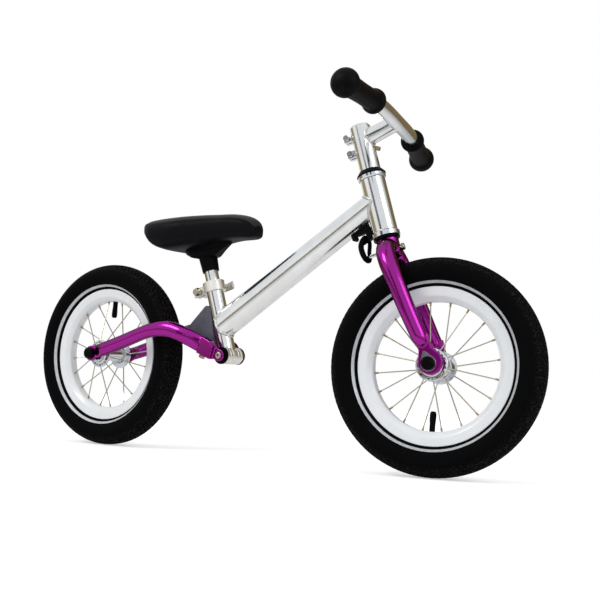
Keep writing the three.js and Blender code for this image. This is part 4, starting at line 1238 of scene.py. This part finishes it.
# %% Stem
machined("stem", ALUMINIUM)
EXTENSION_START = Vector((6, 0, 348.4))
EXTENSION_END = Vector((56, 0, 356.6))
sleeve_joint = mitre(
    EXTENSION_START, EXTENSION_END, lambda u: (12.6 - 0.6 * u, 12.6 - 0.6 * u),
    Vector((0, 0, 0)), Vector((0, 0, 1)), 15.4,
)
piece("stem_weld", bead(sleeve_joint, 1.6), STEERED, WELD, "front_end", sharp=60)
print("stem")

# %% [markdown]
# ## Saddle
# A child's saddle is a plastic pan with a thick foam pad, under one piece of synthetic leather
# that is pulled over the edge. It is widest and fullest at the back, narrows to a short nose, and
# its top panel meets the sides at a seam. The pad is made from rings along its length, and each
# ring is drawn in a little where the seam crosses it.

# %% Saddle
SADDLE_STATIONS = [
    (-218, 5, 356.5, 352), (-216.4, 18, 360.5, 349.5), (-211, 34, 366, 346.5),
    (-199, 49, 370, 338), (-182, 58, 372.5, 325.5),
    (-158, 60, 374.5, 320), (-130, 56, 376, 322.5), (-102, 45, 377, 327.5), (-72, 34, 377, 333.5),
    (-44, 27.5, 376.5, 336.5), (-22, 23.5, 372.5, 337), (-11, 18.5, 366, 338), (-4.5, 11, 357, 341),
]
RING = 72                    # points round each ring of the saddle
SEAMS = (7, 29)              # the two points of a ring where the top panel is sewn on


def bend(value, power):
    return math.copysign(abs(value) ** power, value)


def seam_pull(k, half_width):
    """How far the seam draws this point of a ring inwards; it fades out at the narrow ends."""
    steps_away = min(abs(k - seam) for seam in SEAMS)
    if steps_away == 0:
        return 1.1 * smoothstep(half_width, 20, 36)
    return 0.25 if steps_away == 1 else 0


def saddle_shape():
    rows = smooth_line([(x, w, top) for x, w, top, low in SADDLE_STATIONS], 60)
    lows = smooth_line([(x, low, 0) for x, w, top, low in SADDLE_STATIONS], 240)
    sections = []
    for row in rows:
        low = min(lows, key=lambda p: abs(p.x - row.x)).y
        middle, tall = (row.z + low) / 2, (row.z - low) / 2
        ring = []
        for k in range(RING):
            angle = 2 * math.pi * k / RING
            power = 0.55 if math.sin(angle) < -0.01 else 0.78
            pulled_in = seam_pull(k, row.y)
            ring.append(Vector((
                row.x, max(row.y - pulled_in, 1) * bend(math.cos(angle), power),
                middle + (tall - pulled_in) * bend(math.sin(angle), power),
            )))
        sections.append(ring)
    return skin(sections)


saddle = piece("saddle_cover_shown", saddle_shape(), BIKE, COVER, "seat", ["saddle"], 80)
# The top panel's faces take the lighter copy of the leather, whose brown is painted sheen.
saddle.data.materials.append(COVER_TOP_PAINTED_SHEEN)
for face in saddle.data.polygons:
    on_top = SEAMS[0] <= face.index % RING < SEAMS[1]
    face.material_index = 1 if on_top and len(face.vertices) == 4 else 0
print(saddle.name, len(saddle.data.vertices), "points")

# %% [markdown]
# ## Last steps
# The band of the steering limiter is a soft ring between the hook under the main tube and the
# post behind the crown.

# %% Limiter band
HORN = Vector((191.4, 0, 326.8))
POST = BIKE.inverted() @ (STEERED @ (Vector((-34, 0, BOLT_HEIGHT)) * MM)) / MM
BAND_UP = (HORN - POST).normalized()
TUBE_RUN = (MAIN_HIGH - MAIN_LOW).normalized()
BAND_OUT = (TUBE_RUN - BAND_UP * TUBE_RUN.dot(BAND_UP)).normalized()
BAND_SIDE = BAND_UP.cross(BAND_OUT)
REACH_UP = (HORN - POST).length
# Corners of the ring: aside, up from the post, and rearward.
BAND_LINE = [
    (0, REACH_UP + 5.8, 0), (4.8, REACH_UP + 4.2, 0), (6.6, REACH_UP - 1.5, 0), (6, REACH_UP - 11, 0.5),
    (5, 9, 0.5), (5.4, 1.5, 0), (3.6, -4, 0), (0, -6, 0), (-4.4, -5, 0), (-7.4, -0.5, 1), (-9, 8, 3),
    (-8.8, REACH_UP - 10, 4), (-7.4, REACH_UP - 1.5, 2), (-4.8, REACH_UP + 4.2, 0), (0, REACH_UP + 5.8, 0),
]
corners = [POST + BAND_SIDE * aside + BAND_UP * up - BAND_OUT * back for aside, up, back in BAND_LINE]
band_line = evenly(smooth_line(corners, 80), 80)[:-1]


def cord(u):
    fuller = 3.0 + 1.1 * smoothstep(u, 0.45, 0.65) * (1 - smoothstep(u, 0.85, 0.98))
    return fuller, fuller


band = in_metres("limiter_band_shown", sweep(band_line, cord, TUBE_RUN, 16, ring=True), 60)
band.data.transform(BIKE)
band.data.materials.append(RUBBER)
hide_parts("limiter_band")
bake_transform(band)
print(band.name, "reaches", round(REACH_UP), "mm up from the post to the hook")
